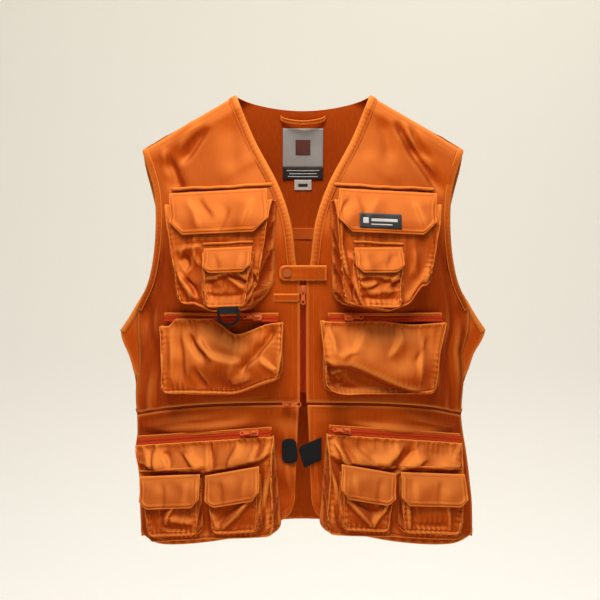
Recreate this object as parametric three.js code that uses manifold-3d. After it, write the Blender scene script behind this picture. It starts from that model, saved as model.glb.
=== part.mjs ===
// Sleeveless zip-front field vest with many pockets, in the shape it takes on a coat hanger.
// Millimetres, +Z up, +X towards the wearer's left, -Y out of the chest.
// The origin is where a hanger carries it: midway between the neck ends of the shoulder seams.
import * as THREE from "three";
import { mergeVertices } from "three/addons/utils/BufferGeometryUtils.js";
import Module from "manifold-3d";

const wasm = await Module();
wasm.setup();

// ---- driving dimensions -------------------------------------------------------------------
const NECK_HALF = 96; // centre to the neck end of a shoulder seam
const TIP_HALF = 229; // centre to the outer end of a shoulder seam
const TIP_DROP = 77.5; // fall of the shoulder seam from neck to tip
const SIDE_HALF = 238; // half width at the side seams
const ARM_HALF = 262; // half width the chest would have at shoulder height
const WING_HALF = 262; // where the underarm corner stands out
const WING_Z = -328;
const WAIST_Z = -436; // waist zip at the centre front
const WAIST_DROP = 19; // how much lower the waist zip is at the side seams
const HEM_Z = -638;
const BACK_HEM_Z = -612; // at the centre of the back
const HANGER_R = 24; // half thickness of the hanger under the shoulders
const FRONT_BELLY = 51; // how far the front stands out beyond the hanger
const BACK_BELLY = 26;
const BELLY_DROP = 260; // height over which the front and back swell out below the shoulders
const SIDE_POWER = 2.4; // how flat the front is before it turns to the side seam
const CLOTH = 2; // body fabric with its seams
const WALL = 1.6; // pocket fabric
const GAP = 0.5; // clearance between layers
const RIM_GAP = 0.7; // clearance behind a pocket's rim, which follows a curve in short straight runs
const YOKE_Z = -119; // shoulder pieces end here, above the chest flaps
const YOKE_GAP = 1.5;
const PLACKET = 4.5; // centre line to the front edges, either side of the zip teeth
const NECK_END_Z = -262; // the neckline meets the zip
const ARM_END_Z = -302; // the armhole meets the side seam
const SEAM = 4; // the cloth stops this far above and below the line of the waist zip
const TAPE = 1.2; // zip tape thickness
const FRONT_ZIP_TOP = -244;
const FRONT_ZIP_END = -420;

const FABRIC = new THREE.MeshStandardMaterial({ color: 0xdd5a12, roughness: 0.9, metalness: 0 });
const ZIP_RED = new THREE.MeshStandardMaterial({ color: 0xb02a0e, roughness: 0.7, metalness: 0 });
const PULL_RED = new THREE.MeshStandardMaterial({ color: 0xd8482a, roughness: 0.4, metalness: 0.3 });
const BLACK_WEB = new THREE.MeshStandardMaterial({ color: 0x0b0b0c, roughness: 0.95, metalness: 0 });
const BLACK_PLASTIC = new THREE.MeshStandardMaterial({ color: 0x101012, roughness: 0.45, metalness: 0 });
const LABEL_GREY = new THREE.MeshStandardMaterial({ color: 0xb9b6b2, roughness: 0.6, metalness: 0 });

// ---- small helpers ------------------------------------------------------------------------
const vec = (x, y, z) => new THREE.Vector3(x, y, z);
const mix = (a, b, t) => a + (b - a) * t;
const smooth = (t) => THREE.MathUtils.smoothstep(t, 0, 1);
const steps = (n) => Array.from({ length: n + 1 }, (_, i) => i / n);

function mesh(name, geometry, material) {
  const made = new THREE.Mesh(geometry, material);
  made.name = name;
  return made;
}

// A closed solid between two grids of points of the same size, top[row][column] and under[row][column].
function shell(top, under) {
  const rows = top.length;
  const cols = top[0].length;
  const positions = [...top.flat(), ...under.flat()].flatMap((p) => [p.x, p.y, p.z]);
  const at = (layer, r, c) => layer * rows * cols + r * cols + c;
  const index = [];
  const quad = (a, b, c, d) => index.push(a, b, c, a, c, d);
  for (let r = 0; r < rows - 1; r++)
    for (let c = 0; c < cols - 1; c++) {
      quad(at(0, r, c), at(0, r, c + 1), at(0, r + 1, c + 1), at(0, r + 1, c));
      quad(at(1, r, c), at(1, r + 1, c), at(1, r + 1, c + 1), at(1, r, c + 1));
    }
  for (let c = 0; c < cols - 1; c++) {
    quad(at(1, 0, c), at(1, 0, c + 1), at(0, 0, c + 1), at(0, 0, c));
    quad(at(0, rows - 1, c), at(0, rows - 1, c + 1), at(1, rows - 1, c + 1), at(1, rows - 1, c));
  }
  for (let r = 0; r < rows - 1; r++) {
    quad(at(0, r, 0), at(0, r + 1, 0), at(1, r + 1, 0), at(1, r, 0));
    quad(at(1, r, cols - 1), at(1, r + 1, cols - 1), at(0, r + 1, cols - 1), at(0, r, cols - 1));
  }
  const geometry = new THREE.BufferGeometry();
  geometry.setAttribute("position", new THREE.Float32BufferAttribute(positions, 3));
  geometry.setIndex(index);
  return facingOut(geometry);
}

// The same closed geometry, with its faces turned round if they point inwards.
function facingOut(geometry) {
  const p = geometry.attributes.position;
  const index = geometry.index.array;
  let volume = 0;
  for (let i = 0; i < index.length; i += 3) {
    const [a, b, c] = [0, 1, 2].map((k) => new THREE.Vector3().fromBufferAttribute(p, index[i + k]));
    volume += a.dot(b.cross(c));
  }
  if (volume < 0) index.reverse();
  return geometry;
}

// A closed geometry as a solid that can be joined to another.
function solid(geometry) {
  const plain = geometry.clone();
  plain.deleteAttribute("normal");
  plain.deleteAttribute("uv");
  const merged = mergeVertices(plain, 1e-4);
  return new wasm.Manifold(
    new wasm.Mesh({
      numProp: 3,
      vertProperties: merged.attributes.position.array,
      triVerts: new Uint32Array(merged.index.array),
    }),
  );
}

function joined(...geometries) {
  const { vertProperties, triVerts } = geometries
    .map(solid)
    .reduce((a, b) => a.add(b))
    .getMesh();
  const geometry = new THREE.BufferGeometry();
  geometry.setAttribute("position", new THREE.Float32BufferAttribute(vertProperties, 3));
  geometry.setIndex(new THREE.BufferAttribute(triVerts, 1));
  return geometry;
}

// ---- the hanging body: how far the cloth stands in front of or behind the side seams --------
const shoulderLine = (x) => (-TIP_DROP * (Math.abs(x) - NECK_HALF)) / (TIP_HALF - NECK_HALF);
const halfWidth = (z) => mix(SIDE_HALF, ARM_HALF, smooth((z - WING_Z) / 180));
const waistLine = (x) => WAIST_Z - WAIST_DROP * Math.abs(x / SIDE_HALF) ** 3;

function depth(x, z, belly) {
  const below = Math.max(shoulderLine(x) - z, 0);
  const round = Math.min(below / HANGER_R, 1);
  const overHanger = HANGER_R * Math.sqrt(1 - (1 - round) ** 2);
  const turn = 1 - (Math.abs(x) / halfWidth(z)) ** SIDE_POWER;
  return Math.max((overHanger + belly * smooth(below / BELLY_DROP)) * turn, GAP);
}

// The point at height h over the cloth's inner face. facing is -1 for the front and 1 for the back.
function onBody(facing, x, z, h) {
  const belly = facing < 0 ? FRONT_BELLY : BACK_BELLY;
  const e = 0.05;
  const slopeX = (depth(x + e, z, belly) - depth(x - e, z, belly)) / (2 * e);
  const slopeZ = (depth(x, z + e, belly) - depth(x, z - e, belly)) / (2 * e);
  const out = vec(-slopeX, facing, -slopeZ).normalize();
  return vec(x, facing * depth(x, z, belly), z).addScaledVector(out, h);
}

// A curve through [x, z] pairs, read as [x, z] at a share of its length.
function line(points) {
  const curve = new THREE.SplineCurve(points.map(([x, z]) => new THREE.Vector2(x, z)));
  return (t) => {
    const p = curve.getPointAt(THREE.MathUtils.clamp(t, 0, 1));
    return [p.x, p.y];
  };
}

// Cloth between an inner and an outer edge, each read bottom to top as [x, z].
function cloth(facing, inner, outer, rows, cols, low = 0, high = CLOTH) {
  const face = (h) =>
    rows.map((v) => {
      const [x0, z0] = inner(v);
      const [x1, z1] = outer(v);
      return cols.map((u) => onBody(facing, mix(x0, x1, u), mix(z0, z1, u), h));
    });
  return shell(face(high), face(low));
}

// The share of a curve's length at which it passes height z, found by halving.
function shareAt(curve, z) {
  let [low, high] = [0, 1];
  for (let i = 0; i < 40; i++) {
    const middle = (low + high) / 2;
    if (curve(middle)[1] < z) low = middle;
    else high = middle;
  }
  return low;
}

const part = (curve, from, to) => (t) => curve(mix(from, to, t));

// Front edges of one half, for the wearer's left: neckline from the zip to the shoulder, and armhole.
const neckline = line([[PLACKET, NECK_END_Z], [11, -240], [18, -184], [36, -130], [70, -64], [96, 0]]);
const armhole = line([[SIDE_HALF - 1, ARM_END_Z], [218, -262], [209, -205], [211, -138], [229, -TIP_DROP]]);
const backArmhole = line([[WING_HALF, WING_Z], [222, -270], [206, -200], [211, -135], [229, -TIP_DROP]]);

// ---- front panels, shoulders and skirt ------------------------------------------------------
function frontPanel(name) {
  const neckCut = shareAt(neckline, YOKE_Z);
  const armCut = shareAt(armhole, YOKE_Z);
  const straight = 0.48; // share of the rows below the underarm
  const below = (x, top, v) => [x, mix(waistLine(x) + SEAM, top, v / straight)];
  const above = (v) => (v - straight) / (1 - straight);
  const inner = (v) => (v < straight ? below(PLACKET, NECK_END_Z, v) : neckline(above(v) * neckCut));
  const outer = (v) => (v < straight ? below(SIDE_HALF - 1, ARM_END_Z, v) : armhole(above(v) * armCut));
  return mesh(name, cloth(-1, inner, outer, steps(12), steps(9)), FABRIC);
}

function shoulder(name) {
  const rows = [0, 0.35, 0.6, 0.78, 0.88, 0.94, 0.98, 1];
  const inner = part(neckline, shareAt(neckline, YOKE_Z + YOKE_GAP), 1);
  const outer = part(armhole, shareAt(armhole, YOKE_Z + YOKE_GAP), 1);
  return mesh(name, cloth(-1, inner, outer, rows, steps(8)), FABRIC);
}

// The front hem: level at the side, rising to a rounded corner at the centre front.
const frontHem = line([[12, -574], [22, -592], [60, -613], [130, -630], [205, HEM_Z], [237, -626]]);

function frontSkirt(name) {
  const top = (u) => [mix(PLACKET + 1.5, SIDE_HALF - 1, u), waistLine(mix(PLACKET, SIDE_HALF, u)) - SEAM];
  const face = (h) =>
    steps(6).map((v) =>
      steps(10).map((u) => {
        const [x0, z0] = frontHem(u);
        const [x1, z1] = top(u);
        return onBody(-1, mix(x0, x1, v), mix(z0, z1, v), h);
      }),
    );
  return mesh(name, shell(face(CLOTH), face(0)), FABRIC);
}

// ---- back ---------------------------------------------------------------------------------
const backNeck = (x) => -17 * (1 - Math.min(Math.abs(x) / NECK_HALF, 1) ** 2);
const backTop = (x) => (Math.abs(x) < NECK_HALF ? backNeck(x) : shoulderLine(x));

// Half width of the back at a height: straight side seam, underarm corner, then the armhole.
function backEdge(z) {
  if (z < WING_Z) return mix(SIDE_HALF, WING_HALF, smooth((z - WING_Z) / 100 + 1));
  return backArmhole(shareAt(backArmhole, z))[0];
}

function backPanel(name) {
  const columns = [...steps(9).map((u) => u - 1), ...steps(9).slice(1)];
  const rows = [0, 0.12, 0.24, 0.36, 0.48, 0.6, 0.72, 0.83, 0.91, 0.955, 0.98, 0.993, 1];
  const face = (h) =>
    rows.map((v) =>
      columns.map((u) => {
        const xTop = u * TIP_HALF;
        const xLow = u * SIDE_HALF;
        const z = mix(waistLine(xLow) + SEAM, backTop(xTop), v);
        const x = mix(u * backEdge(z), xTop, v ** 6);
        return onBody(1, x, Math.min(z, mix(z, backTop(x), v ** 6)), h);
      }),
    );
  return mesh(name, shell(face(CLOTH), face(0)), FABRIC);
}

function backSkirt(name) {
  const columns = [...steps(9).map((u) => u - 1), ...steps(9).slice(1)];
  const hem = (x) => mix(BACK_HEM_Z, HEM_Z + 8, smooth(Math.abs(x) / 200));
  const face = (h) =>
    steps(5).map((v) =>
      columns.map((u) => {
        const x = u * (SIDE_HALF - 1);
        return onBody(1, x, mix(hem(x), waistLine(x) - SEAM, v), h);
      }),
    );
  return mesh(name, shell(face(CLOTH), face(0)), FABRIC);
}

// ---- zips on the body -----------------------------------------------------------------------
// The waist zip lies behind the edges it joins, so its tape is on the inner side of the cloth.
function waistZip(name, facing, from, to) {
  const xs = steps(14).map((u) => mix(from, to, u));
  const face = (h) => [-7, 7].map((dz) => xs.map((x) => onBody(facing, x, waistLine(x) + dz, h)));
  return mesh(name, shell(face(-GAP), face(-GAP - TAPE)), ZIP_RED);
}

function frontZipTape(name) {
  const edge = (x) => (v) => [x, mix(FRONT_ZIP_END, FRONT_ZIP_TOP - 12, v)];
  const tape = cloth(-1, edge(0.4), edge(15), [0, 1], steps(2), -GAP - TAPE, -GAP);
  const teeth = cloth(-1, edge(0.4), edge(3), [0, 1], [0, 1], -GAP - TAPE, GAP);
  return mesh(name, joined(tape, teeth), ZIP_RED);
}

// Slider: runs along local X, with its bridge towards -Y and its width along Z.
const SLIDER = { length: 12, width: 8, height: 3.2, bridgeTop: 6.6, bridgeWidth: 2.2 };
const PULL_PIVOT = 4.25; // height of the pull's cross bar over the tape
function slider(name) {
  const body = new THREE.BoxGeometry(SLIDER.length, SLIDER.height - 0.3, SLIDER.width);
  body.translate(0, -SLIDER.height / 2 - 0.15, 0);
  const outline = new THREE.Shape();
  outline.moveTo(-4.6, SLIDER.height - 0.6);
  outline.lineTo(4.6, SLIDER.height - 0.6);
  outline.lineTo(3.6, SLIDER.bridgeTop);
  outline.lineTo(-3.6, SLIDER.bridgeTop);
  const eye = new THREE.Path();
  eye.moveTo(-3.2, SLIDER.height);
  eye.lineTo(-2.8, SLIDER.bridgeTop - 1.3);
  eye.lineTo(2.8, SLIDER.bridgeTop - 1.3);
  eye.lineTo(3.2, SLIDER.height);
  outline.holes.push(eye);
  const bridge = new THREE.ExtrudeGeometry(outline, { depth: SLIDER.bridgeWidth, bevelEnabled: false });
  bridge.translate(0, 0, -SLIDER.bridgeWidth / 2);
  bridge.rotateX(Math.PI); // the profile's height now points to -Y
  return mesh(name, joined(body, bridge), PULL_RED);
}

// Pull: its cross bar is at the origin, along Z, and it lies along +X.
const PULL = { length: 21, neck: 2.7, ring: 3.7, thickness: 1.2 };
function pull(name) {
  const outline = new THREE.Shape();
  outline.moveTo(-0.7, -PULL.neck);
  outline.lineTo(13, -PULL.neck);
  outline.absarc(PULL.length - PULL.ring, 0, PULL.ring, -Math.PI * 0.75, Math.PI * 0.75);
  outline.lineTo(13, PULL.neck);
  outline.lineTo(-0.7, PULL.neck);
  const eye = new THREE.Path();
  eye.moveTo(0.7, -1.7);
  eye.lineTo(6.6, -1.7);
  eye.lineTo(6.6, 1.7);
  eye.lineTo(0.7, 1.7);
  const finger = new THREE.Path();
  finger.absarc(PULL.length - PULL.ring, 0, 2.1, 0, Math.PI * 2);
  outline.holes.push(eye, finger);
  const settings = { depth: PULL.thickness, bevelEnabled: false, curveSegments: 6 };
  const plate = new THREE.ExtrudeGeometry(outline, settings);
  plate.translate(0, 0, -PULL.thickness / 2);
  plate.rotateX(Math.PI / 2);
  return mesh(name, plate, PULL_RED);
}

// A group whose local X and Z point along the two given directions. Local -Y is then the outer side.
function frameAt(origin, along, up) {
  const x = along.clone().normalize();
  const y = up.clone().cross(x).normalize();
  const group = new THREE.Group();
  group.quaternion.setFromRotationMatrix(new THREE.Matrix4().makeBasis(x, y, x.clone().cross(y)));
  group.position.copy(origin);
  return group;
}

// Slider and pull on a tape, in a frame whose local X is the way the pull points when it lies flat.
function sliderAndPull(prefix, origin, along, up) {
  const group = frameAt(origin, along, up);
  const tab = pull(prefix + "_pull");
  tab.position.y = -PULL_PIVOT;
  group.add(slider(prefix + "_slider"), tab);
  return group;
}

// ---- a flat place on the front for a group of pockets ----------------------------------------
// Local X runs from the inner end to the side, -Y outwards and Z up. The origin is at the inner top corner,
// and y = 0 just clears the cloth, which curves away behind.
class Place {
  constructor(innerX, outerX, innerZ, outerZ, height) {
    const corner = (x, z) => onBody(-1, x, z, CLOTH);
    const [a, b] = [corner(innerX, innerZ), corner(outerX, outerZ)];
    const [c, d] = [corner(innerX, innerZ - height), corner(outerX, outerZ - height)];
    const along = b.clone().sub(a).add(d.clone().sub(c));
    const up = a.clone().sub(c).add(b.clone().sub(d));
    this.group = frameAt(a, along, up);
    this.width = along.length() / 2;
    this.height = height;
    this.group.updateMatrixWorld();
    const out = vec(0, -1, 0).applyQuaternion(this.group.quaternion);
    let bulge = 0;
    for (const u of steps(12))
      for (const v of steps(8)) bulge = Math.max(bulge, -this.clothBehind(u * this.width, -v * height));
    this.group.position.addScaledVector(out, bulge);
    this.group.updateMatrixWorld();
  }

  // Local y of the cloth's outer face behind a local (x, z).
  clothBehind(x, z) {
    let y = 0;
    for (let i = 0; i < 8; i++) {
      const p = this.group.localToWorld(vec(x, y, z));
      const body = onBody(-1, p.x, p.z, CLOTH);
      y += body.y - p.y;
    }
    return y;
  }
}

// A pouch, open at the top and at the back, where the garment or another pocket closes it.
// face(z) is how far its front stands out, and behind(x, z) is the local y that its rim stops at.
function pouch(name, { left, right, taper = 0, top, bottom, cut = 8, face, behind }) {
  const round = 7;
  const outline = (u, v, inset) => {
    const narrow = taper * (1 - v);
    const [x0, x1] = [left + narrow + inset, right - narrow - inset];
    const x = mix(x0, x1, u);
    const corner = cut * Math.max(0, 1 - Math.min(x - x0, x1 - x) / (cut * 1.6 + 1));
    return [x, mix(bottom + inset + corner, top, v)];
  };
  const width = right - left;
  const tall = top - bottom;
  const inside = steps(Math.round(width / 18)).map((u) => mix(round / width, 1 - round / width, u));
  const us = [0, 1.5 / width, ...inside, 1 - 1.5 / width, 1];
  const vs = [0, 1.5 / tall, ...steps(5).map((v) => mix(round / tall, 1, v))];
  const surface = (inset) =>
    vs.map((v, r) =>
      us.map((u, c) => {
        const [x, z] = outline(u, v, inset);
        const ring = Math.min(c, us.length - 1 - c, r);
        const out = -face(z) + inset;
        if (ring === 0) return vec(x, behind(x, z) - RIM_GAP, z);
        return vec(x, ring === 1 ? out + 3.5 : out, z);
      }),
    );
  return mesh(name, shell(surface(0), surface(WALL)), FABRIC);
}

// A flap sewn along its top edge, which is its local X axis. It steps out over the pocket's lip, then hangs.
function flap(name, { width, step, stepOut, drop, cut }) {
  const rows = [
    { z: 0, y: 0 },
    { z: -step, y: -stepOut },
    { z: mix(-step, -drop, 0.5), y: -stepOut },
    { z: -drop + cut, y: -stepOut },
    { z: -drop, y: -stepOut },
  ];
  const surface = (lift) =>
    rows.map(({ z, y }, r) => {
      const inset = r === rows.length - 1 ? cut * 1.1 : 0;
      return steps(4).map((u) => vec(mix(inset, width - inset, u), y - lift, z));
    });
  return mesh(name, shell(surface(WALL), surface(0)), FABRIC);
}

// The zip tape that closes the top of a pocket, from the cloth down and out to the pocket's lip.
function topTape(name, place, { left, right, rise, lip }) {
  const rows = [
    { z: rise, y: -GAP },
    { z: 0.6, y: -lip },
  ];
  const lean = Math.hypot(rise, lip);
  const out = vec(0, -rise / lean, lip / lean).multiplyScalar(TAPE);
  const surface = (lift) =>
    rows.map(({ z, y }) => steps(3).map((u) => vec(mix(left, right, u), y, z).addScaledVector(out, lift)));
  place.group.add(mesh(name, shell(surface(1), surface(0)), ZIP_RED));
  return { middle: vec(0, -lip / 2, rise / 2).addScaledVector(out, 1 + GAP / TAPE), up: vec(0, lip, rise) };
}

// ---- pocket groups of one half -----------------------------------------------------------------
function chestGroup(side) {
  const place = new Place(36, 190, -154, -159, 150);
  const { width } = place;
  const face = (z) => mix(15, 23, -z / 150);
  const cloth = (x, z) => place.clothBehind(x, z);
  const box = { left: 0, right: width, taper: 9, top: 0, bottom: -150, cut: 14, face, behind: cloth };
  place.group.add(pouch(`chest_pocket_${side}`, box));
  const lid = flap(`chest_flap_${side}`, { width: width - 16, step: 15, stepOut: 19, drop: 62, cut: 13 });
  lid.position.set(10, -GAP, 17);
  place.group.add(lid);

  const penFace = (z) => face(z) + mix(6, 15, (-z - 72) / 74);
  const onChest = (x, z) => -face(z);
  const small = { left: 25, right: 101, taper: 3, top: -72, bottom: -146, face: penFace, behind: onChest };
  place.group.add(pouch(`pen_pocket_${side}`, small));
  const penLid = flap(`pen_flap_${side}`, { width: 72, step: 7, stepOut: 10.5, drop: 36, cut: 8 });
  penLid.position.set(27, -face(-65) - GAP - 0.8, -65);
  place.group.add(penLid);
  return { place, face };
}

function midGroup(side) {
  const place = new Place(27, 197, -322, -322, 98);
  const { width } = place;
  const face = (z) => mix(4.5, 20, smooth(-z / 45));
  const cloth = (x, z) => place.clothBehind(x, z);
  const box = { left: 0, right: width, top: 0, bottom: -98, cut: 9, face, behind: cloth };
  place.group.add(pouch(`mid_pocket_${side}`, box));
  const tape = topTape(`mid_zip_tape_${side}`, place, { left: 4, right: width - 4, rise: 10.5, lip: 4 });
  const origin = tape.middle.setX(33);
  place.group.add(sliderAndPull(`mid_zip_${side}`, origin, vec(1, 0, 0), tape.up));
  return place;
}

function cargoGroup(side, pullsInward) {
  const [inner, top] = side === "left" ? [31, -477] : [39, -480];
  const place = new Place(inner, 231, top, top - 18, 134);
  const { width } = place;
  const face = (z) => mix(5, 14, smooth(-z / 40));
  const cloth = (x, z) => place.clothBehind(x, z);
  const box = { left: 0, right: width, taper: 2, top: 0, bottom: -134, cut: 9, face, behind: cloth };
  place.group.add(pouch(`cargo_pocket_${side}`, box));
  const tape = topTape(`cargo_zip_tape_${side}`, place, { left: 4, right: width - 4, rise: 11, lip: 4.5 });
  const origin = tape.middle.setX(22);
  const along = vec(pullsInward ? -1 : 1, 0, 0);
  const up = tape.up.multiplyScalar(pullsInward ? -1 : 1);
  place.group.add(sliderAndPull(`cargo_zip_${side}`, origin, along, up));

  const onCargo = (x, z) => -face(z);
  const pouchFace = (z) => face(z) + mix(7, 14, (-z - 46) / 80);
  const spots = [
    { name: "inner", left: 15, right: 97, top: -50, bottom: -127 },
    { name: "outer", left: 104, right: width - 4, top: -51, bottom: -127 },
  ];
  for (const { name, left, right, top: mouth, bottom } of spots) {
    const shape = { left, right, taper: 3, top: mouth, bottom, face: pouchFace, behind: onCargo };
    place.group.add(pouch(`cargo_${name}_pouch_${side}`, shape));
    const cover = { width: right - left, step: 7, stepOut: 11.5, drop: 46, cut: 9 };
    const lid = flap(`cargo_${name}_flap_${side}`, cover);
    lid.position.set(left, -face(mouth + 7) - GAP - 0.8, mouth + 7);
    place.group.add(lid);
  }
  return place;
}

// ---- small parts -----------------------------------------------------------------------------
function slab(name, { x0, x1, z0, z1, y, thickness, material }) {
  const box = new THREE.BoxGeometry(x1 - x0, thickness, z1 - z0);
  box.translate((x0 + x1) / 2, y - thickness / 2, (z0 + z1) / 2);
  return mesh(name, box, material);
}

// The D ring hangs from its straight bar, which is its local X axis.
const RING = { inside: 25.8, bar: 3, height: 21 };
function dRing(name) {
  const half = RING.inside / 2 + RING.bar;
  const dee = (w, top, low) => {
    const path = new THREE.Path();
    path.moveTo(-w, top);
    path.lineTo(-w, low + w * 0.75);
    path.absellipse(0, low + w * 0.75, w, w * 0.75, Math.PI, Math.PI * 2);
    path.lineTo(w, top);
    return path;
  };
  const outline = new THREE.Shape(dee(half, RING.bar / 2, -RING.height).getPoints(8));
  const inner = dee(half - RING.bar, -RING.bar / 2, -RING.height + RING.bar);
  outline.holes.push(new THREE.Path(inner.getPoints(8)));
  const ring = new THREE.ExtrudeGeometry(outline, { depth: RING.bar, bevelEnabled: false });
  ring.translate(0, 0, -RING.bar / 2);
  ring.rotateX(Math.PI / 2);
  return mesh(name, ring, BLACK_PLASTIC);
}

// Webbing folded round the D ring's bar: a strip with an eye in its side profile.
function ringWebbing(name) {
  const outline = new THREE.Shape();
  const [low, high, half, eye] = [-4.2, 5.2, 4.2, 2.6];
  outline.moveTo(-half, low);
  outline.lineTo(half, low);
  outline.lineTo(half, high);
  outline.lineTo(-half, high);
  const hole = new THREE.Path();
  hole.moveTo(-eye, -eye);
  hole.lineTo(-eye, eye);
  hole.lineTo(eye, eye);
  hole.lineTo(eye, -eye);
  outline.holes.push(hole);
  const strip = new THREE.ExtrudeGeometry(outline, { depth: RING.inside - 0.8, bevelEnabled: false });
  strip.translate(0, 0, -(RING.inside - 0.8) / 2);
  strip.rotateX(Math.PI / 2).rotateZ(Math.PI / 2); // profile x is now along Y, and profile y along Z
  return mesh(name, strip, BLACK_WEB);
}

// A disc whose axis is local -Y.
function disc(name, radius, thickness, material) {
  const cylinder = new THREE.CylinderGeometry(radius, radius, thickness, 16);
  cylinder.translate(0, -thickness / 2, 0);
  return mesh(name, cylinder, material);
}

// A strip of self fabric bowed down from the back neck seam, sewn at both ends, for a coat hook.
function hangerLoop(name) {
  const arc = (u) => [mix(-32, 32, u), -24 - 7 * Math.sin(Math.PI * u) ** 0.5];
  const surface = (lift) =>
    [0, -6].map((dz) =>
      steps(8).map((u) => {
        const [x, z] = arc(u);
        return onBody(1, x, z + dz, -GAP - lift - 9 * Math.sin(Math.PI * u));
      }),
    );
  return mesh(name, shell(surface(0), surface(1.2)), FABRIC);
}

// The woven neck label, with the smaller size label below it.
function neckLabel(name) {
  const bar = (halfWide, top, bottom) => (h) =>
    [bottom, top].map((z) => steps(2).map((u) => onBody(1, mix(-halfWide, halfWide, u), z, h)));
  const [big, small] = [bar(29.5, -42, -115), bar(12.5, -112, -130)];
  return mesh(
    name,
    joined(shell(big(-GAP), big(-GAP - 0.8)), shell(small(-GAP - 0.1), small(-GAP - 0.7))),
    LABEL_GREY,
  );
}

// ---- assembly ----------------------------------------------------------------------------------
// One half of the front is built for the wearer's left; the other half is its mirror image.
function half(side) {
  const group = new THREE.Group();
  group.add(
    shoulder(`shoulder_${side}`),
    frontPanel(`front_panel_${side}`),
    frontSkirt(`front_skirt_${side}`),
    frontZipTape(`front_zip_tape_${side}`),
    waistZip(`waist_zip_${side}`, -1, 7, 234),
  );
  const chest = chestGroup(side);
  const mid = midGroup(side);
  const cargo = cargoGroup(side, side === "left");
  group.add(chest.place.group, mid.group, cargo.group);
  if (side === "right") {
    group.scale.x = -1;
    const knot = new THREE.Group();
    knot.position.set(57, -chest.face(-143) - 15, -154);
    knot.add(ringWebbing("d_ring_webbing"), dRing("d_ring"));
    chest.place.group.add(knot);
  } else {
    const label = { x0: 31, x1: 92, z0: -56, z1: -35, thickness: 0.8, material: BLACK_WEB };
    const lid = chest.place.group.getObjectByName("chest_flap_left");
    lid.add(slab("chest_label", { ...label, y: -19 - WALL - GAP }));
  }
  return group;
}

// Straps and fastenings along the centre front, just proud of the cloth.
function centreFront() {
  const group = new THREE.Group();
  const chestY = onBody(-1, 30, -254, CLOTH).y;
  const strap = { x0: -62, x1: 2, z0: -10.4, z1: 10.4, y: 0, thickness: 1.8, material: FABRIC };
  const tab = slab("front_tab", strap);
  tab.position.set(30, chestY - 2.6, -254);
  const cap = disc("snap_cap", 6, 1.8, FABRIC);
  cap.position.set(-52, -1.8 - 0.3, 0);
  tab.add(cap);
  const stud = disc("snap_stud", 5, 1.6, PULL_RED);
  stud.position.set(-22, chestY - GAP, -254);
  const strip = { x0: -42.5, x1: -5, z0: -294.5, z1: -282.5, y: chestY - GAP, thickness: 1.6 };
  group.add(tab, stud, slab("rod_loop", { ...strip, material: FABRIC }));

  const teethY = onBody(-1, 0.4, -277, GAP).y - 0.3;
  group.add(sliderAndPull("front_zip", vec(0, teethY, -277), vec(0, 0, -1), vec(1, 0, 0)));

  const from = onBody(-1, -12, waistLine(12), CLOTH);
  const to = onBody(-1, -118, waistLine(118), CLOTH);
  const along = from.clone().sub(to);
  const start = from.clone().addScaledVector(along.clone().normalize(), -9).add(vec(-1.5, -5, 0));
  group.add(sliderAndPull("waist_zip", start, along, vec(0, 0, 1)));
  return group;
}

// Hook-and-loop tabs that close the skirt below the zip, each sewn under its cargo pocket's inner edge.
function closureTab(name, side, [inner, outer], [low, high]) {
  const y = onBody(-1, inner, (low + high) / 2, CLOTH).y - GAP;
  const width = outer - inner;
  const strip = { x0: -width, x1: 0, z0: low, z1: high, y: 0, thickness: 2.4 };
  const tab = slab(name, { ...strip, material: BLACK_WEB });
  tab.position.set(outer, y - 0.8, 0);
  const group = new THREE.Group();
  group.scale.x = side;
  group.add(tab);
  return group;
}

const vest = new THREE.Group();
vest.add(
  backPanel("back_panel"),
  backSkirt("back_skirt"),
  waistZip("waist_zip_back", 1, -234, 234),
  hangerLoop("hanger_loop"),
  neckLabel("neck_label"),
  half("left"),
  half("right"),
  centreFront(),
  closureTab("closure_tab_right", -1, [8, 29.5], [-518, -484]),
  closureTab("closure_tab_left", 1, [-3, 25.5], [-526, -482]),
);

export default vest;
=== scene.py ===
"""A blaze orange field vest with its pockets, flaps, zips and bindings, as it hangs from its shoulders.

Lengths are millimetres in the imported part's own frame until a mesh is made: +Z up, +X towards the
wearer's left, -Y out of the chest. A side of +1 is the wearer's left, and -1 is the wearer's right.
"""

import math

import bpy
import numpy as np
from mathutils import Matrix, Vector
from mathutils.bvhtree import BVHTree


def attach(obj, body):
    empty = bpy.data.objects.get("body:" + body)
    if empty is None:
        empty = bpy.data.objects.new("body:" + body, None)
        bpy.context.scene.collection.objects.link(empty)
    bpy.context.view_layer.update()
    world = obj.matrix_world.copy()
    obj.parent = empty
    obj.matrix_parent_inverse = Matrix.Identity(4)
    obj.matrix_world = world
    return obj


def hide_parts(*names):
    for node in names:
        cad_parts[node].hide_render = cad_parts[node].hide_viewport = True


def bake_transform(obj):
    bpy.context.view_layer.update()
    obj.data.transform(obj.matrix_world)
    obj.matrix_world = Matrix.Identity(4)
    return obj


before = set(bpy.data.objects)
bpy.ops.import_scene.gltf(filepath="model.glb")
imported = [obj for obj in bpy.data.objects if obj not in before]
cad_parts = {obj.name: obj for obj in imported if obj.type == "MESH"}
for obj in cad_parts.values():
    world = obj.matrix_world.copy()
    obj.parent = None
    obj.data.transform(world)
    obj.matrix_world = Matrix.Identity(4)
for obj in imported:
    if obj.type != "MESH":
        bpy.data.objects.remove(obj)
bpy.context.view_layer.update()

MM = 0.001
SIDES = {"left": 1, "right": -1}

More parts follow.
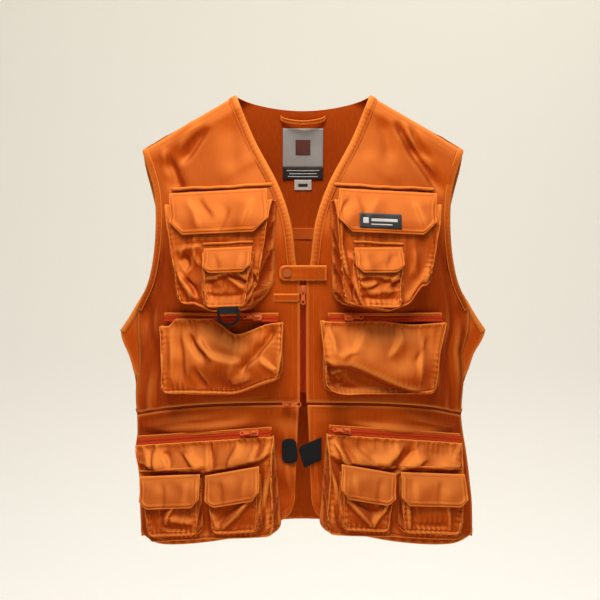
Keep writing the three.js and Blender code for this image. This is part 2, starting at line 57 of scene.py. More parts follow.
# ---- driving dimensions of the body, shared with the part ---------------------------------------
NECK_HALF, TIP_HALF, TIP_DROP = 96.0, 229.0, 77.5
SIDE_HALF, ARM_HALF, WING_HALF, WING_Z = 238.0, 262.0, 262.0, -328.0
WAIST_Z, WAIST_DROP = -436.0, 19.0
HEM_Z, BACK_HEM_Z = -638.0, -612.0
HANGER_R, FRONT_BELLY, BACK_BELLY, BELLY_DROP = 24.0, 51.0, 26.0, 260.0
SIDE_POWER = 2.4
CLOTH, GAP, SEAM = 2.0, 0.5, 4.0
PLACKET, NECK_END_Z, ARM_END_Z = 4.5, -262.0, -302.0
FRONT_ZIP_TOP, FRONT_ZIP_END = -244.0, -420.0
ZIP_SHOWS = 1.9  # the cloth stops this far above and below the line of the waist zip
HEM = 10.0  # width of a turned hem
PANEL = 1.6  # thickness of the body's cloth
THREAD_LIFT = 0.05  # how far a row of stitches lies over its cloth
FRONT, BACK = -1, 1  # which face of the body, by its direction along Y
SHOULDER_WAY = np.array([-TIP_DROP, -(TIP_HALF - NECK_HALF)]) / math.hypot(TIP_DROP, TIP_HALF - NECK_HALF)

LENS = 100.3
CAMERA_PLACE = (-0.0043, -2.4, -0.2915)
FLOOR_Z, WALL_Y = -1.15, 1.9
BODY_MIDDLE = (0, 0, -0.3)


# ---- camera, stage and light ---------------------------------------------------------------------
def make_camera():
    """A level view, square on, from 2.4 m away, with 862 mm of the shoulder plane in it."""
    data = bpy.data.cameras.new("camera")
    data.sensor_width = 36
    data.lens = LENS
    camera = bpy.data.objects.new("camera", data)
    camera.location = CAMERA_PLACE
    camera.rotation_euler = (math.pi / 2, 0, 0)
    bpy.context.scene.collection.objects.link(camera)
    bpy.context.scene.camera = camera


def area_light(name, place, aim, size, power, colour=(1, 1, 1)):
    """A rectangular light at a place, turned to an aim."""
    data = bpy.data.lights.new(name, "AREA")
    data.shape = "RECTANGLE"
    data.size, data.size_y = size
    data.energy = power
    data.color = colour
    light = bpy.data.objects.new(name, data)
    light.location = place
    light.rotation_euler = (Vector(aim) - Vector(place)).to_track_quat("-Z", "Y").to_euler()
    bpy.context.scene.collection.objects.link(light)


def make_stage():
    """A pale floor that sweeps up into a back wall, and soft light that falls mostly from above."""
    radius = 0.7
    profile = [(-4.0, FLOOR_Z), (WALL_Y - radius, FLOOR_Z)]
    for i in range(1, 13):
        turn = math.pi / 2 * i / 12
        y = WALL_Y - radius + radius * math.sin(turn)
        profile.append((y, FLOOR_Z + radius - radius * math.cos(turn)))
    profile.append((WALL_Y, 3.2))
    verts = [(x, y, z) for y, z in profile for x in (-4.5, 4.5)]
    faces = [(2 * i, 2 * i + 1, 2 * i + 3, 2 * i + 2) for i in range(len(profile) - 1)]
    mesh = bpy.data.meshes.new("backdrop")
    mesh.from_pydata(verts, [], faces)
    mesh.shade_smooth()
    backdrop = bpy.data.objects.new("backdrop", mesh)
    bpy.context.scene.collection.objects.link(backdrop)
    mesh.materials.append(backdrop_with_painted_shade())

    area_light("key", (-0.15, -1.15, 1.7), BODY_MIDDLE, (1.7, 1.1), 66, (1.0, 0.95, 0.88))
    area_light("front", (0.3, -3.2, 0.9), BODY_MIDDLE, (1.6, 1.2), 3, (1.0, 0.97, 0.94))
    area_light("back", (0.9, 1.3, 1.5), BODY_MIDDLE, (1.2, 1.2), 16, (1.0, 0.97, 0.94))
    area_light("wall", (0, 0.45, 2.3), (0, WALL_Y, -1.0), (3.0, 0.8), 42)
    world = bpy.data.worlds.new("studio")
    world.use_nodes = True
    sky = world.node_tree.nodes["Background"].inputs
    sky["Color"].default_value = (1.0, 0.96, 0.90, 1)
    sky["Strength"].default_value = 0.06
    bpy.context.scene.world = world
    bpy.context.scene.view_settings.view_transform = "Standard"


# ---- materials -----------------------------------------------------------------------------------
class Nodes:
    """A material's node tree, with short calls to add and join nodes."""

    def __init__(self, name):
        self.material = bpy.data.materials.new(name)
        self.material.use_nodes = True
        self.tree = self.material.node_tree
        self.shader = self.tree.nodes["Principled BSDF"]
        self.coordinates = self.add("ShaderNodeTexCoord").outputs["Object"]

    def add(self, kind, inputs=None, **settings):
        node = self.tree.nodes.new(kind)
        for key, value in settings.items():
            setattr(node, key, value)
        for key, value in (inputs or {}).items():
            self.put(node.inputs[key], value)
        return node

    def put(self, socket, value):
        if isinstance(value, bpy.types.NodeSocket):
            self.tree.links.new(value, socket)
        else:
            socket.default_value = value

    def math(self, operation, a, b=0.0):
        node = self.add("ShaderNodeMath", operation=operation)
        self.put(node.inputs[0], a)
        self.put(node.inputs[1], b)
        return node.outputs[0]

    def noise(self, scale, detail=3.0, stretch=None):
        vector = self.coordinates
        if stretch:
            vector = self.add("ShaderNodeMapping", {"Vector": vector, "Scale": stretch}).outputs[0]
        inputs = {"Vector": vector, "Scale": scale, "Detail": detail}
        return self.add("ShaderNodeTexNoise", inputs).outputs[0]

    def bands(self, turn, pitch):
        """Bands that repeat every pitch metres along X, after a turn about Y."""
        vector = self.add("ShaderNodeMapping", {"Vector": self.coordinates, "Rotation": (0, turn, 0)})
        wave = self.add("ShaderNodeTexWave", {"Vector": vector.outputs[0], "Scale": math.pi / 10 / pitch})
        return wave.outputs["Fac"]

    def mix(self, share, a, b):
        node = self.add("ShaderNodeMix", data_type="RGBA")
        self.put(node.inputs[0], share)
        self.put(node.inputs[6], (*a, 1) if isinstance(a, tuple) else a)
        self.put(node.inputs[7], (*b, 1) if isinstance(b, tuple) else b)
        return node.outputs[2]

    def ramp(self, value, low, high):
        inputs = {"Value": value, "From Min": low, "From Max": high}
        return self.add("ShaderNodeMapRange", inputs).outputs[0]

    def finish(self, colour, roughness, height=None, distance=0.0002, strength=0.5, **inputs):
        self.put(self.shader.inputs["Base Color"], (*colour, 1) if isinstance(colour, tuple) else colour)
        self.put(self.shader.inputs["Roughness"], roughness)
        for key, value in inputs.items():
            self.put(self.shader.inputs[key.replace("_", " ")], value)
        if height is not None:
            bump = self.add("ShaderNodeBump", {"Height": height, "Distance": distance, "Strength": strength})
            self.put(self.shader.inputs["Normal"], bump.outputs[0])
        return self.material


def backdrop_with_painted_shade():
    """Matt paint, darker and greyer towards the top of the wall: painted shade."""
    n = Nodes("backdrop")
    height = n.add("ShaderNodeSeparateXYZ", {"Vector": n.coordinates}).outputs[2]
    # Painted shade: the colour darkens with height on the wall.
    return n.finish(n.mix(n.ramp(height, -1.0, 0.7), (0.93, 0.92, 0.87), (0.66, 0.63, 0.55)), 0.95)


def twill(name, colour, worn_and_highlight, shade, painted_highlight):
    """Cotton twill: a fine diagonal rib, slubs in the yarn, and colour lighter on the ridges, partly worn
    and partly painted highlight.

    It has a painted highlight where it faces up, and painted shade in the hollows, at the sides and
    underneath.
    """
    n = Nodes(name)
    rib = n.math("MULTIPLY", n.bands(math.radians(58), 0.0009), 0.7)
    weft = n.math("MULTIPLY", n.bands(math.radians(90), 0.0006), 0.3)
    slub = n.noise(900, 2, (1, 1, 0.12))
    height = n.math("ADD", n.math("ADD", rib, weft), n.math("MULTIPLY", slub, 0.9))
    ridge_wear_and_highlight = n.ramp(n.add("ShaderNodeNewGeometry").outputs["Pointiness"], 0.505, 0.545)
    cloudy = n.ramp(n.noise(14, 4), 0.35, 0.7)
    streak = n.ramp(n.noise(420, 3, (1, 1, 0.15)), 0.35, 0.75)
    base = n.mix(n.math("MULTIPLY", cloudy, 0.35), colour, shade)
    normal = n.add("ShaderNodeTexCoord").outputs["Normal"]
    facing = n.add("ShaderNodeSeparateXYZ", {"Vector": normal}).outputs
    # Painted highlight: lighter colour where the cloth faces up towards the key light.
    base = n.mix(n.math("MULTIPLY", n.ramp(facing[2], 0.02, 0.34), 0.92), base, painted_highlight)
    # Painted shade: deeper colour where the cloth faces down, away from the light above.
    base = n.mix(n.math("MULTIPLY", n.ramp(facing[2], 0.03, -0.35), 0.85), base, shade)
    # Painted shade: deeper colour where the cloth faces sideways, away from the light.
    painted_side_shade = n.math("MULTIPLY", n.ramp(n.math("ABSOLUTE", facing[0]), 0.12, 0.6), 0.8)
    base = n.mix(painted_side_shade, base, shade)
    # Painted shade: ambient occlusion deepens the colour in creases, recesses and under flaps.
    painted_crevice_shade = n.add("ShaderNodeAmbientOcclusion", {"Distance": 0.02}, samples=4).outputs["AO"]
    base = n.mix(n.math("MULTIPLY", n.ramp(painted_crevice_shade, 0.85, 0.3), 0.85), base, shade)
    base = n.mix(n.math("MULTIPLY", streak, 0.09), base, worn_and_highlight)
    # Ridges and hems turn lighter by pointiness: partly wear, partly painted highlight.
    base = n.mix(n.math("MULTIPLY", ridge_wear_and_highlight, 0.75), base, worn_and_highlight)
    sheen = {"Sheen_Weight": 0.03, "Sheen_Tint": (1.0, 0.45, 0.15, 1)}
    return n.finish(base, 0.85, height, 0.00022, 0.5, Specular_IOR_Level=0.07, **sheen)


def webbing(name, colour, light):
    """Ribbed black webbing."""
    n = Nodes(name)
    rib = n.bands(math.radians(90), 0.0016)
    cross = n.bands(0, 0.0021)
    height = n.math("ADD", rib, n.math("MULTIPLY", cross, 0.5))
    return n.finish(n.mix(n.ramp(n.noise(700), 0.45, 0.8), colour, light), 0.9, height, 0.0005, 0.8)


def fuzzy(name, colour, light):
    """Hook and loop pile."""
    n = Nodes(name)
    pile = n.noise(1900, 2)
    return n.finish(n.mix(n.ramp(pile, 0.45, 0.75), colour, light), 0.97, pile, 0.0012, 1.0)


def zip_tape(name, colour, light):
    """Woven polyester tape with a fine herringbone."""
    n = Nodes(name)
    herring = n.math("MULTIPLY", n.bands(math.radians(35), 0.0008), n.bands(math.radians(-35), 0.0008))
    base = n.mix(n.ramp(n.noise(500), 0.4, 0.8), colour, light)
    return n.finish(base, 0.75, herring, 0.0003, 0.7, Specular_IOR_Level=0.12)


def enamel(name, colour, chip):
    """Painted metal with the paint rubbed thin on raised edges."""
    n = Nodes(name)
    rub = n.ramp(n.add("ShaderNodeNewGeometry").outputs["Pointiness"], 0.52, 0.62)
    speck = n.ramp(n.noise(1500, 2), 0.55, 0.75)
    base = n.mix(n.math("MULTIPLY", rub, 0.35), colour, chip)
    base = n.mix(n.math("MULTIPLY", speck, 0.12), base, chip)
    return n.finish(base, 0.4, n.noise(900, 2), 0.00005, 0.3, Coat_Weight=0.05)


def moulded(name, colour):
    """Black moulded plastic with a faint grain."""
    n = Nodes(name)
    grain = n.noise(2600, 2)
    base = n.mix(n.ramp(n.noise(60), 0.4, 0.8), colour, (0.03, 0.03, 0.033))
    return n.finish(base, 0.34, grain, 0.00006, 0.4)


def satin(name, colour, shade):
    """Woven satin label: fine weft bands and a soft sheen."""
    n = Nodes(name)
    weft = n.bands(math.radians(90), 0.0005)
    base = n.mix(n.ramp(n.noise(40, 4), 0.35, 0.7), colour, shade)
    return n.finish(base, 0.5, weft, 0.0001, 0.4, Sheen_Weight=0.3)


# Each twill: base colour, colour of worn ridges and their painted highlight, deeper colour for random tone
# and painted shade, painted highlight colour for upward faces.
TWILL = (0.58, 0.083, 0.003), (0.88, 0.26, 0.040), (0.34, 0.026, 0.0006), (0.88, 0.235, 0.042)
ORANGE = twill("orange_twill", *TWILL)
POUCH_TWILL = (0.66, 0.106, 0.006), (0.93, 0.30, 0.050), (0.35, 0.028, 0.0006), (0.93, 0.275, 0.052)
ORANGE_POUCH = twill("pouch_twill", *POUCH_TWILL)
DEEP = (0.62, 0.11, 0.012), (0.72, 0.17, 0.03), (0.50, 0.07, 0.006), (0.66, 0.13, 0.016)
ORANGE_DEEP = twill("orange_twill_inside", *DEEP)
THREAD = Nodes("thread").finish((0.74, 0.18, 0.022), 0.8, Specular_IOR_Level=0.1)
# Near-black thread for the row beside the neckline binding: painted shadow of the groove between binding and
# front.
THREAD_PAINTED_SHADOW = Nodes("thread_painted_shadow").finish((0.36, 0.055, 0.005), 0.8, Specular_IOR_Level=0.1)
ZIP_RED = zip_tape("zip_tape_red", (0.50, 0.034, 0.003), (0.62, 0.058, 0.006))
ZIP_TEETH = Nodes("zip_coil").finish((0.58, 0.052, 0.006), 0.5, Specular_IOR_Level=0.2)
ENAMEL = enamel("zip_enamel", (0.72, 0.10, 0.010), (0.88, 0.28, 0.08))
ENAMEL_ORANGE = enamel("snap_enamel", (0.42, 0.075, 0.005), (0.62, 0.17, 0.03))
BLACK_WEB = webbing("black_webbing", (0.004, 0.004, 0.005), (0.02, 0.02, 0.022))
BLACK_PILE = fuzzy("hook_and_loop", (0.003, 0.003, 0.004), (0.014, 0.014, 0.016))
BLACK_PLASTIC = moulded("black_plastic", (0.006, 0.006, 0.007))
LABEL_GREY = satin("label_grey", (0.44, 0.42, 0.40), (0.36, 0.345, 0.33))
LABEL_WHITE = satin("label_white", (0.70, 0.66, 0.60), (0.6, 0.56, 0.5))
LABEL_BLACK = satin("label_black", (0.008, 0.007, 0.007), (0.016, 0.014, 0.013))
LABEL_MARK = satin("label_mark", (0.10, 0.018, 0.012), (0.14, 0.03, 0.02))
LABEL_LIGHT = satin("label_light", (0.72, 0.70, 0.68), (0.6, 0.58, 0.56))


# ---- the hanging body -----------------------------------------------------------------------------
def smooth(t):
    """A soft step that is 0 up to t = 0 and 1 from t = 1."""
    t = np.clip(t, 0.0, 1.0)
    return t * t * (3 - 2 * t)


def mix(a, b, t):
    """The value at a share t of the way from a to b."""
    return a + (b - a) * t


def shoulder_line(x):
    """Height of the shoulder seam."""
    return -TIP_DROP * (np.abs(x) - NECK_HALF) / (TIP_HALF - NECK_HALF)


def half_width(z):
    """Half width of the body at a height."""
    return mix(SIDE_HALF, ARM_HALF, smooth((z - WING_Z) / 180))


def waist_line(x):
    """Height of the waist zip, which is lower at the sides."""
    return WAIST_Z - WAIST_DROP * np.abs(x / SIDE_HALF) ** 3


def depth(x, z, belly):
    """How far the cloth's inner face stands off the middle plane, on the side that bulges by belly."""
    below = np.maximum(shoulder_line(x) - z, 0.0)
    rounded = np.minimum(below / HANGER_R, 1.0)
    over_hanger = HANGER_R * np.sqrt(np.maximum(1 - (1 - rounded) ** 2, 0.0))
    turn = 1 - (np.abs(x) / half_width(z)) ** SIDE_POWER
    return np.maximum((over_hanger + belly * smooth(below / BELLY_DROP)) * turn, GAP)


def on_body(facing, x, z, h):
    """Points at height h over the cloth's inner face. facing is FRONT or BACK."""
    x, z, h = np.broadcast_arrays(np.asarray(x, float), np.asarray(z, float), np.asarray(h, float))
    belly = FRONT_BELLY if facing < 0 else BACK_BELLY
    e = 0.05
    slope_x = (depth(x + e, z, belly) - depth(x - e, z, belly)) / (2 * e)
    slope_z = (depth(x, z + e, belly) - depth(x, z - e, belly)) / (2 * e)
    out = np.stack([-slope_x, np.full_like(x, facing), -slope_z], -1)
    out /= np.linalg.norm(out, axis=-1, keepdims=True)
    return np.stack([x, facing * depth(x, z, belly), z], -1) + out * h[..., None]


class Line:
    """A smooth curve through [x, z] pairs, read as x and z at shares of its length."""

    def __init__(self, points):
        p = np.array([points[0], *points, points[-1]], float)
        t = np.linspace(0, 1, 60, endpoint=False)[:, None]
        runs = [self.run(p[i : i + 4], t) for i in range(len(points) - 1)]
        self.samples = np.vstack([*runs, p[-1:]])
        steps = np.linalg.norm(np.diff(self.samples, axis=0), axis=1)
        self.length = steps.sum()
        self.shares = np.concatenate([[0], np.cumsum(steps)]) / self.length

    @staticmethod
    def run(p, t):
        """One stretch of a Catmull-Rom curve."""
        a, b = (p[2] - p[0]) / 2, (p[3] - p[1]) / 2
        cubic = (2 * p[1] - 2 * p[2] + a + b) * t**3
        return cubic + (-3 * p[1] + 3 * p[2] - 2 * a - b) * t**2 + a * t + p[1]

    def at(self, share):
        x = np.interp(share, self.shares, self.samples[:, 0])
        return x, np.interp(share, self.shares, self.samples[:, 1])

    def beside(self, share, distance, inward=1):
        """Points at a distance to one side of the curve: the right of its way where inward is -1."""
        x, z = self.at(share)
        tx, tz = np.gradient(x), np.gradient(z)
        size = np.hypot(tx, tz)
        return x - tz / size * inward * distance, z + tx / size * inward * distance


NECKLINE = Line([[PLACKET, NECK_END_Z], [11, -240], [18, -184], [36, -130], [70, -64], [96, 0]])
ARMHOLE = Line([[SIDE_HALF - 1, ARM_END_Z], [218, -262], [209, -205], [211, -138], [229, -TIP_DROP]])
BACK_ARMHOLE = Line([[WING_HALF, WING_Z], [222, -270], [206, -200], [211, -135], [229, -TIP_DROP]])
FRONT_HEM = Line([[12, -574], [22, -592], [60, -613], [130, -630], [205, HEM_Z], [237, -626]])


def back_edge(z):
    """Half width of the back at a height: straight side seam, underarm corner, then the armhole."""
    low = mix(SIDE_HALF, WING_HALF, smooth((z - WING_Z) / 100 + 1))
    high = np.interp(z, BACK_ARMHOLE.samples[:, 1], BACK_ARMHOLE.samples[:, 0])
    return np.where(z < WING_Z, low, high)


# ---- relief ------------------------------------------------------------------------------------------
def strokes(x, z, lines, lean=1.0):
    """The summed height of folds and dents, each (x0, z0, x1, z1, width, height).

    A fold falls steeply on the right of its line and gently on the left. lean 0 makes both sides alike.
    """
    total = np.zeros_like(x)
    for x0, z0, x1, z1, width, height in lines:
        dx, dz = x1 - x0, z1 - z0
        length = math.hypot(dx, dz)
        along = ((x - x0) * dx + (z - z0) * dz) / length**2
        across = ((x - x0) * dz - (z - z0) * dx) / length
        across = across + 0.9 * np.sin(along * 5 + x0) * min(width / 5, 1.0)
        wide = np.where(across > 0, width * (1 - 0.5 * lean), width * (1 + 0.6 * lean))
        ends = smooth((along + 0.25) / 0.5) * smooth((1.25 - along) / 0.5)
        total += height * np.exp(-((across / wide) ** 2)) * ends
    return total


def ripple(x, z, seed, wavelength):
    """Soft seeded unevenness, about 1 high, with the given wavelength."""
    waves = 7
    random = np.random.default_rng(seed)
    total = np.zeros_like(x)
    for _ in range(waves):
        turn, phase = random.uniform(0, 2 * math.pi, 2)
        k = 2 * math.pi / (wavelength * random.uniform(0.6, 1.6))
        total += np.sin(k * (x * math.cos(turn) + z * math.sin(turn)) + phase)
    return total / math.sqrt(waves / 2)


# ---- meshes ------------------------------------------------------------------------------------------
pieces = []


def add_object(name, points, faces, material):
    """A new closed mesh object from points in millimetres, with its faces turned outwards."""
    mesh = bpy.data.meshes.new(name)
    mesh.from_pydata((np.asarray(points) * MM).tolist(), [], faces)
    mesh.validate()
    mesh.shade_smooth()
    mesh.materials.append(material)
    face_out(mesh)
    made = bpy.data.objects.new(name, mesh)
    bpy.context.scene.collection.objects.link(made)
    pieces.append(made)
    return made


def grid_faces(rows, cols):
    """The four corners of each face of a grid of points."""
    index = np.arange(rows * cols).reshape(rows, cols)
    corners = index[:-1, :-1], index[:-1, 1:], index[1:, 1:], index[1:, :-1]
    return np.stack([corner.ravel() for corner in corners], 1)


def grid_normals(grid):
    """Unit normals of a grid of points, from its rows crossed with its columns."""
    rows, cols = np.gradient(grid, axis=0), np.gradient(grid, axis=1)
    n = np.cross(cols, rows)
    return n / np.maximum(np.linalg.norm(n, axis=-1, keepdims=True), 1e-9)


def slab(grid, thickness, out):
    """A closed solid under a grid of points: its points and faces. out is roughly the grid's outer side."""
    normals = grid_normals(grid)
    if np.sum(normals.mean((0, 1)) * out) < 0:
        normals = -normals
    top, under = grid.copy(), grid - normals * thickness
    for edge in ((0, slice(None)), (-1, slice(None)), (slice(None), 0), (slice(None), -1)):
        top[edge] = grid[edge] - normals[edge] * thickness * 0.25
        under[edge] = grid[edge] - normals[edge] * thickness * 0.75
    rows, cols = grid.shape[:2]
    size = rows * cols
    index = np.arange(size).reshape(rows, cols)
    quads = grid_faces(rows, cols)
    faces = [*quads.tolist(), *(quads[:, [0, 3, 2, 1]] + size).tolist()]
    rim = [*index[0, :], *index[1:, -1], *index[-1, -2::-1], *index[-2:0:-1, 0]]
    for i, this in enumerate(rim):
        after = rim[(i + 1) % len(rim)]
        faces.append([int(after), int(this), int(this + size), int(after + size)])
    return np.vstack([top.reshape(-1, 3), under.reshape(-1, 3)]), faces


def panel(name, grid, out):
    """A panel of the body from a grid of its outer face."""
    return add_object(name, *slab(grid, PANEL, np.asarray(out, float)), ORANGE)


def face_out(mesh):
    """Turns a closed mesh's faces to point outwards."""
    volume = 0.0
    for p in mesh.polygons:
        corners = [mesh.vertices[i].co for i in p.vertices]
        for i in range(1, len(corners) - 1):
            volume += corners[0].dot(corners[i].cross(corners[i + 1]))
    if volume < 0:
        mesh.flip_normals()


def spread(length, pitch):
    """Shares of a length: even steps of about pitch, with a step of 1 mm at each end."""
    edge = 1.0 / length
    inside = np.linspace(edge, 1 - edge, max(int(length / pitch), 2))
    return np.concatenate([[0], inside, [1]])


def add_bar(points, faces, rings):
    """Adds a short capped bar, from four rings of four points each."""
    first = len(points)
    points.extend(rings)
    for ring in range(3):
        for k in range(4):
            p, q = first + ring * 4 + k, first + ring * 4 + (k + 1) % 4
            faces.append([p, q, q + 4, p + 4])
    faces.append([first + 3, first + 2, first + 1, first])
    faces.append([first + 12, first + 13, first + 14, first + 15])


class Stitches:
    """Collects the stitches of one body in one mesh."""

    LENGTH, PITCH, WIDTH, HEIGHT = 2.3, 3.3, 0.62, 0.34
    PROFILE = np.array([[-1, 0], [-0.6, 1], [0.6, 1], [1, 0]])

    def __init__(self):
        self.points, self.faces = [], []

    def add(self, path, normals):
        """A row of stitches along a path of points on a surface."""
        path = np.asarray(path, float)
        steps = np.linalg.norm(np.diff(path, axis=0), axis=1)
        distance = np.concatenate([[0], np.cumsum(steps)])
        count = int(distance[-1] // self.PITCH)
        for start in (np.arange(count) + 0.2) * self.PITCH:
            ends = [self.read(path, distance, start), self.read(path, distance, start + self.LENGTH)]
            up = self.read(np.asarray(normals, float), distance, start + self.LENGTH / 2)
            self.one(*ends, up / np.linalg.norm(up))

    @staticmethod
    def read(values, distance, at):
        return np.array([np.interp(at, distance, values[:, k]) for k in range(3)])

    def one(self, a, b, up):
        """One stitch from a to b, on a surface whose normal is up."""
        across = np.cross(b - a, up)
        across /= max(np.linalg.norm(across), 1e-9)
        rings = []
        for share, size in ((0.0, 0.35), (0.25, 1.0), (0.75, 1.0), (1.0, 0.35)):
            middle = mix(a, b, share)
            for side, top in self.PROFILE:
                rise = (top * self.HEIGHT + 0.02 if top else -0.25) * size
                rings.append(middle + across * side * self.WIDTH / 2 * size + up * rise)
        add_bar(self.points, self.faces, rings)


def pucker(along, distance, seed):
    """Small ripples that a tight seam draws into the cloth beside it, about 1 high at the seam."""
    pitch, reach = 7.5, 7.0
    wave = np.sin(along * 2 * math.pi / pitch + 1.7 * np.sin(along / 19 + seed) + seed)
    uneven = 0.55 + 0.45 * np.sin(along / 13 + 2.1 * seed)
    return wave * uneven * np.exp(-np.abs(distance) / reach)


class Surface:
    """A finished piece that other pieces lie on: it is found along a direction."""

    def __init__(self, *objects):
        self.trees = [BVHTree.FromObject(o, bpy.context.evaluated_depsgraph_get()) for o in objects]

    def hit(self, point, out):
        """The outermost point and normal met on the way in, or None."""
        start, way = Vector((point + out * 80) * MM), Vector(-out)
        best = None
        for tree in self.trees:
            place, normal, _, distance = tree.ray_cast(start, way, 0.2)
            if place is not None and (best is None or distance < best[2]):
                best = (np.array(place) / MM, np.array(normal), distance)
        return best

    def path(self, points, out):
        """The path laid on the surface, with its normals."""
        found = [self.hit(np.asarray(p, float), out) for p in points]
        kept = [f for f in found if f is not None]
        return np.array([f[0] for f in kept]), np.array([f[1] for f in kept])


# ---- cloth that keeps its grid -----------------------------------------------------------------------
class Cloth:
    """A grid of points on a cloth's outer face. us and vs say where each column and row lies."""

    def __init__(self, us, vs, grid, out):
        self.us, self.vs, self.grid, self.out = us, vs, grid, np.asarray(out, float)

    def normals(self):
        n = grid_normals(self.grid)
        return n if np.sum(n.mean((0, 1)) * self.out) > 0 else -n

    def read(self, uv, lift=0.0):
        """Points on the cloth at (u, v) pairs, and the normals there."""
        uv = np.asarray(uv, float)
        c = np.interp(uv[:, 0], self.us, np.arange(len(self.us)))
        r = np.interp(uv[:, 1], self.vs, np.arange(len(self.vs)))
        c0 = np.minimum(c.astype(int), len(self.us) - 2)
        r0 = np.minimum(r.astype(int), len(self.vs) - 2)
        fc, fr = (c - c0)[:, None], (r - r0)[:, None]

        def between(a):
            low = mix(a[r0, c0], a[r0, c0 + 1], fc)
            return mix(low, mix(a[r0 + 1, c0], a[r0 + 1, c0 + 1], fc), fr)

        n = between(self.normals())
        n /= np.linalg.norm(n, axis=1, keepdims=True)
        return between(self.grid) + n * lift, n

    def make(self, name, material, thickness):
        """The cloth as a closed piece."""
        return add_object(name, *slab(self.grid, thickness, self.out), material)


DRAPE_SCALE = 0.01  # length of a millimetre while cloth is simulated, ten times its real one
DRAPE_FRAMES = 18


def route(*corners, scale=(1.0, 1.0)):
    """(u, v) pairs about 2 mm apart along straight runs between corners. scale gives u and v in mm."""
    path = [corners[0]]
    for a, b in zip(corners[:-1], corners[1:]):
        far = math.hypot((b[0] - a[0]) * scale[0], (b[1] - a[1]) * scale[1])
        count = max(int(far / 2), 1)
        path += [(mix(a[0], b[0], i / count), mix(a[1], b[1], i / count)) for i in range(1, count + 1)]
    return path


def drape(grid, pinned, grow, cap):
    """Lets cloth that is a little too large buckle between its pinned points, and caps the movement."""
    rows, cols = grid.shape[:2]
    mesh = bpy.data.meshes.new("drape")
    mesh.from_pydata((grid.reshape(-1, 3) * DRAPE_SCALE).tolist(), [], grid_faces(rows, cols).tolist())
    worked = bpy.data.objects.new("drape", mesh)
    scene = bpy.context.scene
    scene.collection.objects.link(worked)
    group = worked.vertex_groups.new(name="pins")
    group.add(np.flatnonzero(pinned).tolist(), 1.0, "REPLACE")
    modifier = worked.modifiers.new("cloth", "CLOTH")
    settings = modifier.settings
    settings.quality = 6
    settings.mass = 0.3
    settings.tension_stiffness = settings.compression_stiffness = 12
    settings.shear_stiffness = 6
    settings.bending_stiffness = 0.6
    settings.tension_damping = settings.compression_damping = 8
    settings.air_damping = 2
    settings.shrink_min = -grow
    settings.vertex_group_mass = "pins"
    modifier.collision_settings.use_collision = False
    modifier.point_cache.frame_start, modifier.point_cache.frame_end = 1, DRAPE_FRAMES
    scene.frame_start, scene.frame_end = 1, DRAPE_FRAMES
    for frame_number in range(1, DRAPE_FRAMES + 1):
        scene.frame_set(frame_number)
    done = worked.evaluated_get(bpy.context.evaluated_depsgraph_get()).to_mesh()
    points = np.zeros(rows * cols * 3, np.float32)
    done.vertices.foreach_get("co", points)
    moved = points.reshape(rows, cols, 3).astype(float) / DRAPE_SCALE - grid
    bpy.data.objects.remove(worked)
    bpy.data.meshes.remove(mesh)
    scene.frame_set(1)
    far = np.linalg.norm(moved, axis=-1, keepdims=True)
    return grid + moved * cap / np.maximum(far + cap, 1e-9) * 1.6


# ---- a pocket's own frame on a front ----------------------------------------------------------------
class Place:
    """X runs from the pocket's inner end to the side, -Y outwards and Z up, from the inner top corner."""

    def __init__(self, side, inner_x, outer_x, inner_z, outer_z, height):
        self.side = side
        spots = [(inner_x, inner_z), (outer_x, outer_z)]
        spots += [(x, z - height) for x, z in spots]
        a, b, c, d = [on_body(FRONT, x, z, CLOTH) for x, z in spots]
        along, up = (b - a) + (d - c), (a - c) + (b - d)
        self.width = np.linalg.norm(along) / 2
        x = along / np.linalg.norm(along)
        y = np.cross(up, x)
        y /= np.linalg.norm(y)
        self.axes = np.stack([x, y, np.cross(x, y)], 1)
        self.origin = a
        us, vs = np.meshgrid(np.linspace(0, self.width, 13), -np.linspace(0, height, 9))
        bulge = max(0.0, float(-self.behind(us, vs).min()))
        self.origin = a - self.axes[:, 1] * bulge

    def behind(self, x, z):
        """Local y of the garment's outer face behind a local x, z."""
        x, z = np.broadcast_arrays(np.asarray(x, float), np.asarray(z, float))
        y = np.zeros_like(x)
        for _ in range(8):
            p = np.stack([x, y, z], -1) @ self.axes.T + self.origin
            y = y + on_body(FRONT, p[..., 0], p[..., 2], CLOTH)[..., 1] - p[..., 1]
        return y

    def world(self, points):
        """Points in this frame as points of the part, on the frame's own side."""
        moved = np.asarray(points, float) @ self.axes.T + self.origin
        return moved * [self.side, 1, 1]

    def out(self):
        return -self.axes[:, 1] * [self.side, 1, 1]


